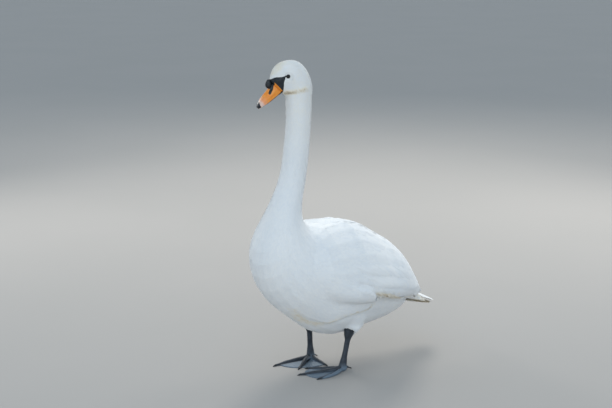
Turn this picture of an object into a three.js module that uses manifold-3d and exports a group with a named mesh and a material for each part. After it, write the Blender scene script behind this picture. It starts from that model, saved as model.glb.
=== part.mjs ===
// A life-size still model of an adult mute swan, standing with its neck raised.
// Millimetres, +Z up. The bird faces -Y, and its left side is +X.
// Each named mesh is one part of the bird: the neck's lengths, the head, the bill's pieces, the trunk, the
// wings, the tail, and for each leg its feathered shank, its tarsus, its webbed foot and its claws.
import * as THREE from "three";
import Module from "manifold-3d";
import { mergeVertices } from "three/addons/utils/BufferGeometryUtils.js";

const wasm = await Module();
wasm.setup();

// ---- Driving dimensions ------------------------------------------------------------------------------
const GAP = 0.35; // clear space between two parts that meet
const CRUMB = 1000; // a piece smaller than this, in cubic millimetres, is a leftover of a cut
const BODY_RINGS = 50; // rings along the trunk, neck and head
const RING_SIDES = 22; // points round a body ring
const WING_RINGS = 16;
const WING_SIDES = 16;

const NECK_AXIS_Y = -100; // the upright axis of the neck's upper half
const HEAD_TURN = THREE.MathUtils.degToRad(18); // the head looks this far to the bird's right
const TURN_FROM_Z = 560; // the turn of the head is spread over the neck between these heights
const TURN_TO_Z = 850;

const EYE_REACH = 40; // from the neck's axis forward to the eyes
const EYE_HEIGHT = 914;
const EYE_RADIUS = 6;
const EYE_SIDE = 25.2; // from the median plane out to the centre of an eyeball
const BILL_DROP = THREE.MathUtils.degToRad(40); // the bill points this far below level

const TARSUS_RADIUS = 9; // fore and aft
const ANKLE_RADIUS = 15.5;
const WEB_THICKNESS = 2.6;

const UP = new THREE.Vector3(0, 0, 1);

// ---- Frames of the bird ------------------------------------------------------------------------------
const smooth = (t) => THREE.MathUtils.smoothstep(t, 0, 1);

/** Turns a point about the neck's axis by the share of the head's turn that belongs to its height. */
function turned(point) {
  const share = smooth((point.z - TURN_FROM_Z) / (TURN_TO_Z - TURN_FROM_Z));
  const angle = -HEAD_TURN * share;
  const y = point.y - NECK_AXIS_Y;
  return new THREE.Vector3(
    point.x * Math.cos(angle) - y * Math.sin(angle),
    NECK_AXIS_Y + point.x * Math.sin(angle) + y * Math.cos(angle),
    point.z,
  );
}

/** A point of the head: forward along the bill from between the eyes, up square to that, and to the left. */
function headPoint(along, up, left) {
  const forward = EYE_REACH + along * Math.cos(BILL_DROP) + up * Math.sin(BILL_DROP);
  const z = EYE_HEIGHT - along * Math.sin(BILL_DROP) + up * Math.cos(BILL_DROP);
  return turned(new THREE.Vector3(left, NECK_AXIS_Y - forward, z));
}

// ---- Making and cutting solids -----------------------------------------------------------------------

/** A closed ring of points, one for each of some angles round the circle. */
const ring = (sides, place) => Array.from({ length: sides }, (_, j) => place((j / sides) * 2 * Math.PI));

/** A point on an oval about a centre: half-width `a` along one direction and `b` along the other. */
const ovalPoint = (centre, first, a, second, b, angle) =>
  centre.clone().addScaledVector(first, a * Math.cos(angle)).addScaledVector(second, b * Math.sin(angle));

const middleOf = (points) =>
  points.reduce((sum, p) => sum.add(p), new THREE.Vector3()).divideScalar(points.length);

/** Moves an end ring of a loft straight outwards, away from the ring next to it. */
function pushOut(end, next, distance) {
  const outward = middleOf(end).sub(middleOf(next)).setLength(distance);
  for (const point of end) point.add(outward);
}

/** A solid through rings of points, with a fan over each end ring. A grown solid's end rings move out. */
function loft(rings, grown = 0) {
  pushOut(rings[0], rings[1], grown);
  pushOut(rings.at(-1), rings.at(-2), grown);
  const sides = rings[0].length;
  const points = rings.flat();
  const faces = [];
  for (let i = 0; i + 1 < rings.length; i++)
    for (let j = 0; j < sides; j++) {
      const a = i * sides + j;
      const b = i * sides + ((j + 1) % sides);
      faces.push(a, b, a + sides, b, b + sides, a + sides);
    }
  for (const [end, flip] of [[rings[0], true], [rings.at(-1), false]]) {
    const first = points.indexOf(end[0]);
    const hub = points.push(middleOf(end)) - 1;
    for (let j = 0; j < sides; j++) {
      const a = first + j;
      const b = first + ((j + 1) % sides);
      faces.push(...(flip ? [b, a, hub] : [a, b, hub]));
    }
  }
  const geometry = new THREE.BufferGeometry().setFromPoints(points);
  geometry.setIndex(faces);
  return solid(geometry);
}

/** A manifold-3d solid of a closed three.js geometry, turned right side out. */
function solid(geometry) {
  const bare = geometry.index ? geometry.toNonIndexed() : geometry.clone();
  for (const name of Object.keys(bare.attributes)) if (name !== "position") bare.deleteAttribute(name);
  const merged = mergeVertices(bare, 1e-4);
  const vertProperties = merged.attributes.position.array;
  const triVerts = new Uint32Array(merged.index.array);
  const made = new wasm.Manifold(new wasm.Mesh({ numProp: 3, vertProperties, triVerts }));
  if (made.volume() > 0) return made;
  for (let i = 0; i < triVerts.length; i += 3)
    [triVerts[i + 1], triVerts[i + 2]] = [triVerts[i + 2], triVerts[i + 1]];
  return new wasm.Manifold(new wasm.Mesh({ numProp: 3, vertProperties, triVerts }));
}

/** The largest closed body of a solid, so that a cut leaves no crumbs. */
const mainBody = (made) => made.decompose().sort((a, b) => b.volume() - a.volume())[0];

/** The main body of a solid less its neighbours, which are given already grown by the gap. */
const without = (made, ...others) => mainBody(others.reduce((left, other) => left.subtract(other), made));

/** A tube through points along one line. Each has its half-widths to the side and fore and aft. */
function limb(points, along, sides, grown = 0) {
  const forward = new THREE.Vector3(0, -1, 0).projectOnPlane(along).normalize();
  const left = new THREE.Vector3().crossVectors(along, forward).normalize();
  const rings = points.map(({ at, side, fore }) =>
    ring(sides, (angle) => ovalPoint(at, left, side + grown, forward, fore + grown, angle)),
  );
  return loft(rings, grown);
}

/** The value of a list at a place between its entries, on a smooth curve through them all. */
function smoothValue(list, t) {
  const i = Math.min(Math.floor(t), list.length - 2);
  const s = t - i;
  const entry = (k) => list[THREE.MathUtils.clamp(k, 0, list.length - 1)];
  const slope = (k) => (entry(k + 1) - entry(k - 1)) / 2;
  const fromStart = (1 + 2 * s) * (1 - s) ** 2 * entry(i) + s * (1 - s) ** 2 * slope(i);
  const fromEnd = s * s * (3 - 2 * s) * entry(i + 1) + s * s * (s - 1) * slope(i + 1);
  return fromStart + fromEnd;
}

/** Some number of stations spread evenly along a smooth curve through the given ones. */
function stationsBetween(stations, count) {
  const fields = Object.keys(stations[0]);
  return Array.from({ length: count }, (_, k) => {
    const t = (k / (count - 1)) * (stations.length - 1);
    return Object.fromEntries(fields.map((field) => [field, smoothValue(stations.map((s) => s[field]), t)]));
  });
}

// ---- Trunk, neck and head ----------------------------------------------------------------------------
// One body runs from the rump to the bill's root. Each station is a ring across it: the ring's upper point
// on the back or nape (ty, tz), its lower point on the belly, breast or throat (by, bz), its half-width,
// and how far its widest place lies towards the back (+) or the belly (-).
const station = (ty, tz, by, bz, half, lean = 0) => ({ ty, tz, by, bz, half, lean });
const BODY = [
  station(338, 196, 330, 160, 16), // rump, under the tail's root
  station(300, 243, 292, 136, 58, 0.05),
  station(240, 306, 232, 120, 92, 0.08),
  station(170, 370, 160, 112, 117, 0.12),
  station(95, 422, 85, 107, 133, 0.15),
  station(20, 452, 5, 105, 142, 0.17),
  station(-38, 466, -66, 132, 145, 0.12),
  station(-70, 474, -131, 183, 140, 0.05),
  station(-87, 480, -193, 237, 128), // the rings fan round the corner of neck and back
  station(-96, 487, -240, 306, 112),
  station(-101, 497, -258, 384, 94),
  station(-104, 511, -243, 450, 77),
  station(-103, 533, -213, 506, 61.5),
  station(-97, 563, -187, 556, 50),
  station(-85, 605, -165, 605, 43),
  station(-74, 660, -151, 662, 40),
  station(-66, 725, -143, 725, 38),
  station(-62, 785, -138, 785, 38),
  station(-60, 838, -139, 838, 38.5), // top of the neck
  station(-59.5, 868, -141, 851, 38.5),
  station(-63.5, 897, -142.5, 855.5, 38),
  station(-75, 925, -144, 857.3, 37.5),
  station(-93, 946, -145.5, 858.4, 36.5),
  station(-114, 956, -147, 859.5, 34),
  station(-138, 955.5, -148.5, 860.6, 31),
  station(-161, 948, -149.8, 861.8, 28, 0.05),
  station(-179, 929, -151, 863, 24, 0.05),
  station(-188, 900, -151.6, 864.4, 18.8), // the bill's root
];

/** The trunk, neck and head as one solid, grown outwards by some amount. */
function bodySolid(grown = 0) {
  const rings = stationsBetween(BODY, BODY_RINGS).map((s) => {
    const top = new THREE.Vector3(0, s.ty, s.tz);
    const low = new THREE.Vector3(0, s.by, s.bz);
    const middle = top.clone().add(low).multiplyScalar(0.5);
    const reach = top.clone().sub(middle);
    reach.setLength(reach.length() + grown);
    return ring(RING_SIDES, (angle) => {
      const side = (s.half + grown) * Math.sin(angle) * (1 + s.lean * Math.cos(angle));
      return turned(middle.clone().addScaledVector(reach, Math.cos(angle)).setX(side));
    });
  });
  return loft(rings, grown);
}

/** A thin flat cutter through a point, square to a direction, wide enough for the part of the body there. */
function thinCut(point, direction, size) {
  const sheet = new THREE.BoxGeometry(size, size, GAP);
  sheet.applyQuaternion(new THREE.Quaternion().setFromUnitVectors(UP, direction));
  sheet.translate(point.x, point.y, point.z);
  return solid(sheet);
}

// Where the neck leaves the trunk, where it is divided, and where it meets the head: each a level cut at a
// height and a depth along the bird, wide enough for the neck but not for the back behind it.
const levelCut = (y, z, size) => thinCut(new THREE.Vector3(0, y, z), UP, size);
const neckCuts = () => [
  levelCut(-300, 508, 400),
  levelCut(NECK_AXIS_Y, 625, 200),
  levelCut(NECK_AXIS_Y, 735, 200),
  levelCut(NECK_AXIS_Y, 846, 200),
];

// ---- Wings -------------------------------------------------------------------------------------------
// A folded wing is a lens laid on the trunk's side. Each station lies across the body at y: its upper edge
// near the back's middle (tx, tz), its lower edge on the flank (bx, bz), and its swell out of that chord.
const across = (y, tx, tz, bx, bz, swell) => ({ y, tx, tz, bx, bz, swell });
const WING = [
  across(-150, 88, 412, 108, 352, 8),
  across(-112, 66, 446, 130, 296, 41),
  across(-60, 38, 462, 142, 262, 59),
  across(0, 17, 462, 148, 246, 64),
  across(70, 12, 454, 149, 238, 60),
  across(140, 10, 424, 142, 230, 53),
  across(175, 9, 398, 135, 224, 50), // a slight dip, where the shoulder feathers end
  across(210, 9, 381, 126, 218, 55),
  across(265, 8, 338, 104, 204, 46),
  across(315, 8, 286, 76, 192, 28),
  across(352, 9, 238, 48, 182, 13),
  across(374, 11, 206, 28, 184, 4),
];
const WING_DEPTH = 16; // how far the lens runs into the trunk, which is then cut out of it

// Seen from the side, the wing's front edge is an arc about this place. What the lens adds ahead of the arc
// belongs to the trunk, whose side feathers cover the bend of the wing.
const WING_FRONT = { y: 72, z: 350, radius: 168 };

/** All of space on one side of the median plane, as far as the bird reaches. */
function sideBlock(side) {
  const block = new THREE.BoxGeometry(400, 1200, 1200);
  block.translate(side * (200 - GAP), 0, 500);
  return solid(block);
}

/** The space ahead of the wing's rounded front edge, less a margin. */
function aheadOfWing(margin = 0) {
  const block = new THREE.BoxGeometry(500, 500, 900);
  block.translate(0, WING_FRONT.y - 250, 450);
  const round = new THREE.CylinderGeometry(1, 1, 600, 40);
  round.scale(WING_FRONT.radius + margin, 1, WING_FRONT.radius + margin);
  round.rotateZ(Math.PI / 2);
  round.translate(0, WING_FRONT.y, WING_FRONT.z);
  return solid(block).subtract(solid(round));
}

/** A wing's lens on one side of the bird, before what lies inside the trunk is cut away. */
function wingLens(side, grown = 0) {
  const rings = stationsBetween(WING, WING_RINGS).map((s) => {
    const top = new THREE.Vector2(s.tx, s.tz);
    const low = new THREE.Vector2(s.bx, s.bz);
    const middle = top.clone().add(low).multiplyScalar(0.5);
    const half = top.clone().sub(middle);
    half.setLength(half.length() + grown);
    const outward = new THREE.Vector2(half.y, -half.x).normalize();
    return ring(WING_SIDES, (angle) => {
      const swell = Math.sin(angle) * ((Math.sin(angle) > 0 ? s.swell : WING_DEPTH) + grown);
      const flat = middle.clone().addScaledVector(half, Math.cos(angle)).addScaledVector(outward, swell);
      return new THREE.Vector3(side * flat.x, s.y, flat.y);
    });
  });
  return loft(rings, grown).subtract(sideBlock(-side));
}

// ---- Tail --------------------------------------------------------------------------------------------
// The short wedge of stiff feathers behind the rump: each station's place, half-width and half-thickness.
const TAIL = [
  { y: 300, z: 186, half: 30, thick: 22 },
  { y: 335, z: 177, half: 62, thick: 21 },
  { y: 370, z: 163, half: 72, thick: 15 },
  { y: 405, z: 147, half: 62, thick: 8.5 },
  { y: 435, z: 132, half: 38, thick: 4 },
  { y: 457, z: 120, half: 10, thick: 1.6 },
];
const TAIL_RINGS = 8;
const TAIL_SIDES = 14;
const TAIL_DROOP = 0.12;

function tailSolid() {
  const rings = stationsBetween(TAIL, TAIL_RINGS).map((s) =>
    ring(TAIL_SIDES, (angle) => {
      const x = s.half * Math.sin(angle);
      const droop = (TAIL_DROOP * x * x) / TAIL[2].half; // the outer feathers hang lower
      return new THREE.Vector3(x, s.y, s.z + s.thick * Math.cos(angle) - droop);
    }),
  );
  return loft(rings);
}

// ---- Eyes and bill -----------------------------------------------------------------------------------
const eyeCentre = (side) => headPoint(0, 0, side * EYE_SIDE);

/** An eyeball. */
function eyeSolid(side, grown = 0) {
  const ball = new THREE.SphereGeometry(EYE_RADIUS + grown, 12, 7);
  const centre = eyeCentre(side);
  ball.translate(centre.x, centre.y, centre.z);
  return solid(ball);
}

// The upper bill: at each place along it the ridge's height, the cutting edge's height and the half-width.
const billAt = (along, ridge, edge, half) => ({ along, ridge, edge, half });
const UPPER_BILL = [
  billAt(34, 13, -22, 15.5),
  billAt(50, 10.5, -22.8, 16.6),
  billAt(66, 5, -23, 15.6),
  billAt(82, 2.6, -22.4, 14.4),
  billAt(95, 0.4, -20.6, 14.6),
  billAt(106, -3.2, -18.4, 14.4),
  billAt(115, -7.2, -18, 11.5),
  billAt(121, -11.2, -17.6, 6),
];
const BILL_RINGS = 11;
const BILL_SIDES = 14;
const BILL_ARCH = 0.62; // how square-shouldered the arch of the bill is
const BILL_UNDERSIDE = 1.2; // the shallow swell of its underside

function upperBillSolid() {
  const rings = stationsBetween(UPPER_BILL, BILL_RINGS).map((s) =>
    ring(BILL_SIDES, (angle) => {
      const rise = Math.cos(angle);
      const up = rise > 0 ? s.edge + (s.ridge - s.edge) * rise ** BILL_ARCH : s.edge + BILL_UNDERSIDE * rise;
      return headPoint(s.along, up, s.half * Math.sin(angle));
    }),
  );
  return loft(rings);
}

// The lower bill lies under it, from its root to just short of the nail's point, inside the cutting edges.
const LOWER_BILL_RINGS = 9;
const LOWER_BILL_DEPTH = { root: 6.5, tip: 1.6 };
const LOWER_BILL_INSET = 2.2; // how far it lies inside the cutting edges
const LOWER_BILL_CROWN = 0.3; // the slight rise of its upper face

function lowerBillSolid() {
  const rings = stationsBetween(UPPER_BILL.slice(0, -1), LOWER_BILL_RINGS).map((s, i) => {
    const { root, tip } = LOWER_BILL_DEPTH;
    const depth = THREE.MathUtils.lerp(root, tip, i / (LOWER_BILL_RINGS - 1));
    const top = s.edge - BILL_UNDERSIDE - GAP;
    return ring(BILL_SIDES, (angle) => {
      const rise = Math.cos(angle);
      const up = top + (rise > 0 ? LOWER_BILL_CROWN * (rise - 1) : depth * rise - LOWER_BILL_CROWN);
      return headPoint(s.along, up, (s.half - LOWER_BILL_INSET) * Math.sin(angle));
    });
  });
  return loft(rings);
}

const KNOB = { along: 54.8, up: 12, radius: 9.8, half: 9 }; // the fleshy knob at the bill's root

function knobSolid(grown = 0) {
  const ball = new THREE.SphereGeometry(1, 12, 9);
  const place = ball.getAttribute("position");
  for (let i = 0; i < place.count; i++) {
    const radius = KNOB.radius + grown;
    const point = headPoint(
      KNOB.along + place.getX(i) * radius,
      KNOB.up + place.getY(i) * radius,
      place.getZ(i) * (KNOB.half + grown),
    );
    place.setXYZ(i, point.x, point.y, point.z);
  }
  return solid(ball);
}

// The nail is the hard black tip, cut from the upper bill where it crosses this length.
const NAIL_FROM = 108.5;

// ---- Legs --------------------------------------------------------------------------------------------
// Each leg: where the toes spread (foot), the ankle above it, and its three front toes. A toe has its heading
// in degrees from straight ahead towards the bird's midline, its length to the claw's root, how far it bows
// out sideways, and how far it arches off the floor.
const toe = (name, inward, length, bow = 0, arch = 0) => ({ name, inward, length, bow, arch });
const LEGS = [
  {
    name: "left",
    side: 1,
    foot: new THREE.Vector3(64, 21, 0),
    ankle: new THREE.Vector3(62, 48, 122),
    toes: [toe("outer", -7, 99, 11), toe("middle", 21.5, 133), toe("inner", 44, 106)],
  },
  {
    name: "right",
    side: -1,
    foot: new THREE.Vector3(-74, 4, 0),
    ankle: new THREE.Vector3(-68, -6, 123),
    toes: [toe("outer", -8, 124, 4), toe("middle", 30, 92, 0, 8), toe("inner", 91, 73)],
  },
];
const FOOT_HEIGHT = 15; // where the tarsus meets the spread of the toes
const FOOT_ROOT = { radius: 12, height: 8 }; // the knuckle that the toes spread from
const TOE_RADIUS = 5.4;
const TOE_RISE = 2.5; // a toe's root lies this much higher than its tip
const TOE_JOINTS = [0.36, 0.66]; // the swollen joints, as shares of a toe's length
const TOE_RINGS = 8;
const TOE_SIDES = 6;
const CLAW = { length: 12, radius: 3.2, rootHeight: 3.4, dip: 2.4 };

// The small hind toe: three places along it, from its root above the foot to its claw near the floor.
const HIND_TOE = [
  { back: 6, z: 14, radius: 3.6 },
  { back: 16, z: 9, radius: 3.6 },
  { back: 26, z: 4, radius: 2.6 },
];
const HIND_CLAW = { length: 7, radius: 2.2, dip: 3 };
const HIND_TOE_INWARD = 8; // degrees

/** The level direction of a toe that turns inwards by some degrees. */
function heading(side, inward) {
  const angle = THREE.MathUtils.degToRad(inward);
  return new THREE.Vector3(-side * Math.sin(angle), -Math.cos(angle), 0);
}

/** A point of a toe's middle line, on the floor, at a share of its length. */
function toePoint(leg, part, share) {
  const out = heading(leg.side, part.inward);
  const outward = new THREE.Vector3(leg.side, 0, 0).projectOnPlane(out).normalize();
  const bow = part.bow * Math.sin(Math.PI * share);
  return leg.foot.clone().addScaledVector(out, part.length * share).addScaledVector(outward, bow);
}

function toeSolid(leg, part) {
  const left = UP.clone().cross(heading(leg.side, part.inward));
  const rings = Array.from({ length: TOE_RINGS }, (_, i) => {
    const t = i / (TOE_RINGS - 1);
    const swell = TOE_JOINTS.reduce((sum, at) => sum + 0.2 * Math.exp(-(((t - at) / 0.08) ** 2)), 0);
    const radius = TOE_RADIUS * (1.25 - 0.6 * t + swell);
    const at = toePoint(leg, part, t);
    at.z = TOE_RISE * (1 - t) + radius * 0.72 + part.arch * Math.sin(Math.PI * t) ** 2;
    return ring(TOE_SIDES, (angle) => ovalPoint(at, left, radius, UP, radius, angle));
  });
  return loft(rings);
}

/** The web between two toes: straight along both, and hollowed at its front edge. */
function webSolid(leg, a, b) {
  const shares = [0.25, 0.5, 0.75, 0.97];
  const flat = (p) => new THREE.Vector2(p.x, p.y);
  const [from, to] = [a, b].map((part) => shares.map((share) => flat(toePoint(leg, part, share))));
  const hollow = flat(toePoint(leg, a, 0.8).add(toePoint(leg, b, 0.8)).multiplyScalar(0.5));
  const front = new THREE.QuadraticBezierCurve(from.at(-1), hollow, to.at(-1)).getPoints(7).slice(1, -1);
  const outline = new THREE.Shape([flat(leg.foot), ...from, ...front, ...to.reverse()]);
  return solid(new THREE.ExtrudeGeometry(outline, { depth: WEB_THICKNESS, bevelEnabled: false }));
}

const FLOOR_CUT = (() => {
  const block = new THREE.BoxGeometry(1000, 1000, 100);
  block.translate(0, 0, -50);
  return solid(block);
})();

/** The direction of the small hind toe, which points back. */
const hindHeading = (leg) => heading(leg.side, HIND_TOE_INWARD).negate();

const hindPoint = (leg, { back, z }) => leg.foot.clone().addScaledVector(hindHeading(leg), back).setZ(z);

function hindToeSolid(leg) {
  const left = UP.clone().cross(hindHeading(leg));
  return loft(
    HIND_TOE.map((place) => {
      const at = hindPoint(leg, place);
      return ring(TOE_SIDES, (angle) => ovalPoint(at, left, place.radius, UP, place.radius, angle));
    }),
  );
}

function footSolid(leg) {
  const [outer, middle, inner] = leg.toes;
  const root = new THREE.SphereGeometry(FOOT_ROOT.radius, 12, 8);
  root.translate(leg.foot.x, leg.foot.y, FOOT_ROOT.height);
  return [
    ...leg.toes.map((part) => toeSolid(leg, part)),
    webSolid(leg, outer, middle),
    webSolid(leg, middle, inner),
    hindToeSolid(leg),
  ]
    .reduce((made, piece) => made.add(piece), solid(root))
    .subtract(FLOOR_CUT);
}

/** A claw: a short curved cone from a root on a toe's end, with its point dipping to the floor. */
function clawSolid(root, toeHeading, out, { length, radius, dip }) {
  const left = UP.clone().cross(toeHeading);
  const shares = [0, 1 / 3, 2 / 3, 1];
  const rings = shares.map((t) => {
    const thick = radius * (1 - 0.82 * t * t);
    const at = root.clone().addScaledVector(out, GAP + length * t);
    at.z -= dip * t;
    return ring(6, (angle) => ovalPoint(at, left, thick, UP, thick, angle));
  });
  return mainBody(loft(rings).subtract(FLOOR_CUT));
}

function tarsusSolid(leg, grown = 0) {
  const low = leg.foot.clone().setZ(FOOT_HEIGHT);
  const along = leg.ankle.clone().sub(low).normalize();
  const section = (share, side, fore) => ({ at: low.clone().lerp(leg.ankle, share), side, fore });
  const sections = [
    section(-0.06, 9.5, 11.5),
    section(0.08, 8.2, 10),
    section(0.22, 7, TARSUS_RADIUS),
    section(0.5, 6.6, TARSUS_RADIUS),
    section(0.74, 7, TARSUS_RADIUS * 1.05),
    section(0.86, 9, ANKLE_RADIUS * 0.85),
    section(0.96, 10.6, ANKLE_RADIUS),
    section(1.06, 9.6, ANKLE_RADIUS * 0.9),
    section(1.14, 6.5, 8.5),
  ];
  return limb(sections, along, 12, grown);
}

// The feathers of the shank hang behind the ankle as a short trouser, and widen upwards into the belly.
const SHANK_LOW = new THREE.Vector3(-10, 36, -22); // from the ankle: towards the midline, back and down
const SHANK_TOP = new THREE.Vector3(24, -8, 96);

function shankSolid(leg) {
  const from = (offset) => offset.clone().multiply(new THREE.Vector3(leg.side, 1, 1)).add(leg.ankle);
  const [low, top] = [from(SHANK_LOW), from(SHANK_TOP)];
  const along = top.clone().sub(low).normalize();
  const section = (share, side, fore) => ({ at: low.clone().lerp(top, share), side, fore });
  const sections = [
    section(0, 7, 9),
    section(0.08, 15, 18),
    section(0.25, 23, 29),
    section(0.55, 31, 42),
    section(1, 34, 50),
  ];
  return limb(sections, along, 14);
}

// ---- Fitting the parts to each other -----------------------------------------------------------------
const MATERIALS = {
  plumage: new THREE.MeshStandardMaterial({ color: 0xf2f1ec, roughness: 0.85, metalness: 0 }),
  bill: new THREE.MeshStandardMaterial({ color: 0xe8792c, roughness: 0.45, metalness: 0 }),
  horn: new THREE.MeshStandardMaterial({ color: 0x15171a, roughness: 0.5, metalness: 0 }),
  leg: new THREE.MeshStandardMaterial({ color: 0x2b3138, roughness: 0.6, metalness: 0 }),
  eye: new THREE.MeshStandardMaterial({ color: 0x120d0a, roughness: 0.08, metalness: 0 }),
};

const swan = new THREE.Group();

/** Adds a solid to the bird as a named mesh. */
function add(name, made, material) {
  const { numProp, vertProperties, triVerts } = made.getMesh();
  const place = new Float32Array((vertProperties.length / numProp) * 3);
  for (let i = 0; i * numProp < vertProperties.length; i++)
    place.set(vertProperties.subarray(i * numProp, i * numProp + 3), i * 3);
  const geometry = new THREE.BufferGeometry();
  geometry.setAttribute("position", new THREE.BufferAttribute(place, 3));
  geometry.setIndex(new THREE.BufferAttribute(triVerts, 1));
  const mesh = new THREE.Mesh(geometry, MATERIALS[material]);
  mesh.name = name;
  swan.add(mesh);
}

const bodyRoom = bodySolid(GAP);
const wingRoom = [wingLens(1, GAP), wingLens(-1, GAP)];

const shoulders = wingLens(1).add(wingLens(-1)).intersect(aheadOfWing(GAP));
const [trunk, neckLower, neckMiddle, neckUpper, head] = neckCuts()
  .reduce((made, cut) => made.subtract(cut), bodySolid().add(shoulders))
  .decompose()
  .filter((piece) => piece.volume() > CRUMB)
  .sort((a, b) => a.boundingBox().min[2] - b.boundingBox().min[2]);

add("trunk", trunk, "plumage");
add("neck_lower", neckLower, "plumage");
add("neck_middle", neckMiddle, "plumage");
add("neck_upper", neckUpper, "plumage");
add("head", without(head, eyeSolid(1, GAP), eyeSolid(-1, GAP)), "plumage");
add("wing_left", without(wingLens(1), bodyRoom, aheadOfWing()), "plumage");
add("wing_right", without(wingLens(-1), bodyRoom, aheadOfWing()), "plumage");
add("tail", without(tailSolid(), bodyRoom, ...wingRoom), "plumage");

add("eye_left", eyeSolid(1), "eye");
add("eye_right", eyeSolid(-1), "eye");
const upperBill = without(upperBillSolid(), bodyRoom, knobSolid(GAP));
const nailCut = thinCut(headPoint(NAIL_FROM, 0, 0), headPoint(1, 0, 0).sub(headPoint(0, 0, 0)), 120);
const [billBack, billTip] = upperBill.subtract(nailCut).decompose().sort((a, b) => b.volume() - a.volume());
add("bill_upper", billBack, "bill");
add("bill_nail", billTip, "horn");
add("bill_lower", without(lowerBillSolid(), bodyRoom), "horn");
add("bill_knob", without(knobSolid(), bodyRoom), "horn");

for (const leg of LEGS) {
  const tarsusRoom = tarsusSolid(leg, GAP);
  add(`shank_${leg.name}`, without(shankSolid(leg), bodyRoom, tarsusRoom, ...wingRoom), "plumage");
  add(`tarsus_${leg.name}`, without(tarsusSolid(leg), bodyRoom), "leg");
  add(`foot_${leg.name}`, without(footSolid(leg), tarsusRoom), "leg");
  for (const part of leg.toes) {
    const root = toePoint(leg, part, 1).setZ(CLAW.rootHeight);
    const out = toePoint(leg, part, 1).sub(toePoint(leg, part, 0.9)).normalize();
    const claw = clawSolid(root, heading(leg.side, part.inward), out, CLAW);
    add(`claw_${leg.name}_${part.name}`, claw, "horn");
  }
  const back = hindHeading(leg);
  const hindClaw = clawSolid(hindPoint(leg, HIND_TOE.at(-1)), back, back, HIND_CLAW);
  add(`claw_${leg.name}_hind`, hindClaw, "horn");
}

// The origin is under the middle of the bird's box, on the floor.
const box = new THREE.Box3().setFromObject(swan);
swan.position.set(-(box.min.x + box.max.x) / 2, -(box.min.y + box.max.y) / 2, -box.min.z);

export default swan;
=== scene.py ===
# %% [markdown]
# # A life-size mute swan
#
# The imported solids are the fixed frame. They hold the bird's outline, out to the feather tips. This lesson
# lays a skin inside them, covers it with vanes, and makes finer shapes for the bill, the eyes and the legs.

# %% Load the frame
import math

import bpy
import numpy as np
from mathutils import Matrix, Vector
from mathutils.bvhtree import BVHTree
from mathutils.kdtree import KDTree


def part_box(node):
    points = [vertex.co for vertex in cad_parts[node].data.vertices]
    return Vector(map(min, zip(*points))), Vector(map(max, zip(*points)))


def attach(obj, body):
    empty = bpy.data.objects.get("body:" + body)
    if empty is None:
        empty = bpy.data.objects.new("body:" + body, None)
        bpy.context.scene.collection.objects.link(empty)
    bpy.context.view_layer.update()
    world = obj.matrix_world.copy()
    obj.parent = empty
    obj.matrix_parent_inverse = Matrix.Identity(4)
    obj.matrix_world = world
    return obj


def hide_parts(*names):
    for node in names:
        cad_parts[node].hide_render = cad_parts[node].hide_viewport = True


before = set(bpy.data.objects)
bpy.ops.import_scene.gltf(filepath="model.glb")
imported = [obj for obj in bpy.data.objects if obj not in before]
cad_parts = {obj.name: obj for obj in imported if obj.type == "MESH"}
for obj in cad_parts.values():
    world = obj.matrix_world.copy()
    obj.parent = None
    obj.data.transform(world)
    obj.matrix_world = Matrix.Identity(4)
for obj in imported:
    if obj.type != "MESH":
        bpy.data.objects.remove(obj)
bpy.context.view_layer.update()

# %% [markdown]
# The bird is measured in millimetres from the middle of its trunk, as a maker would: x to its left, y
# towards its tail, z up from the floor. The frame is in metres and centred on the whole bird, so one number,
# read from the tail's end, carries a place from the one to the other.

# %% From the bird's millimetres to the frame's metres
MM = 0.001
TAIL_END = 457
SHIFT = np.array([0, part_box("tail")[1].y - TAIL_END * MM, 0])


def in_frame(place):
    """A place, or rows of places, of the bird in millimetres, as metres in the frame."""
    return np.asarray(place, float) * MM + SHIFT


def on_bird(place):
    """The other way: metres in the frame, as millimetres of the bird."""
    return (np.asarray(place, float) - SHIFT) / MM


print("shift along the bird", round(float(SHIFT[1]), 5))

# %% [markdown]
# The head has its own three directions: along the bill, up square to that, and to the left. They come from
# where the two eyes are and from how far the bill points below level. On a swan nearly all that the eye
# looks at in the face is drawn in these three numbers, so the bill, lids and bare skin all use them.

# %% The head's own directions
BILL_DROP = math.radians(40)


def middle(node):
    """The middle of a node's box, in metres."""
    low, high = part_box(node)
    return np.array((low + high) / 2)


def unit(vectors):
    """Vectors of length one."""
    vectors = np.asarray(vectors, float)
    return vectors / np.maximum(np.linalg.norm(vectors, axis=-1, keepdims=True), 1e-12)


UP = np.array([0, 0, 1.0])
between_eyes = (middle("eye_left") + middle("eye_right")) / 2
head_left = unit(middle("eye_left") - middle("eye_right"))
head_level = np.cross(head_left, UP)
head_along = head_level * math.cos(BILL_DROP) - UP * math.sin(BILL_DROP)
head_up = head_level * math.sin(BILL_DROP) + UP * math.cos(BILL_DROP)
HEAD = np.array([head_along, head_left, head_up])


def head_place(along, up, left):
    """A place of the head, given in millimetres along the bill, up and left, as metres in the frame."""
    return between_eyes + (np.array([along, left, up]) * MM) @ HEAD


def in_head(places):
    """Places in the frame as rows of (along, left, up) of the head, in millimetres."""
    return (np.asarray(places, float) - between_eyes) @ HEAD.T / MM


print("the bill points", [round(value, 3) for value in head_along])

# %% [markdown]
# A few habits of the hand are worth a function each: clearing the selection before an operator runs, adding
# a modifier and applying it at once, and taking a copy of some of the solids to work on. The solids'
# meshes are loose triangles, so a copy is merged first. Another, used at the end, puts a piece under the root
# and hides the solids that it stands for.

# %% Helpers for selecting, copying and finishing
MERGE_WITHIN = 1e-5  # metres


def select_only(piece):
    """Leaves one object selected and active."""
    bpy.ops.object.select_all(action="DESELECT")
    piece.select_set(True)
    bpy.context.view_layer.objects.active = piece


def finish_with(piece, kind, **settings):
    """Adds a modifier and applies it."""
    select_only(piece)
    modifier = piece.modifiers.new(kind.lower(), kind)
    for name, value in settings.items():
        setattr(modifier, name, value)
    bpy.ops.object.modifier_apply(modifier=modifier.name)


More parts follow.
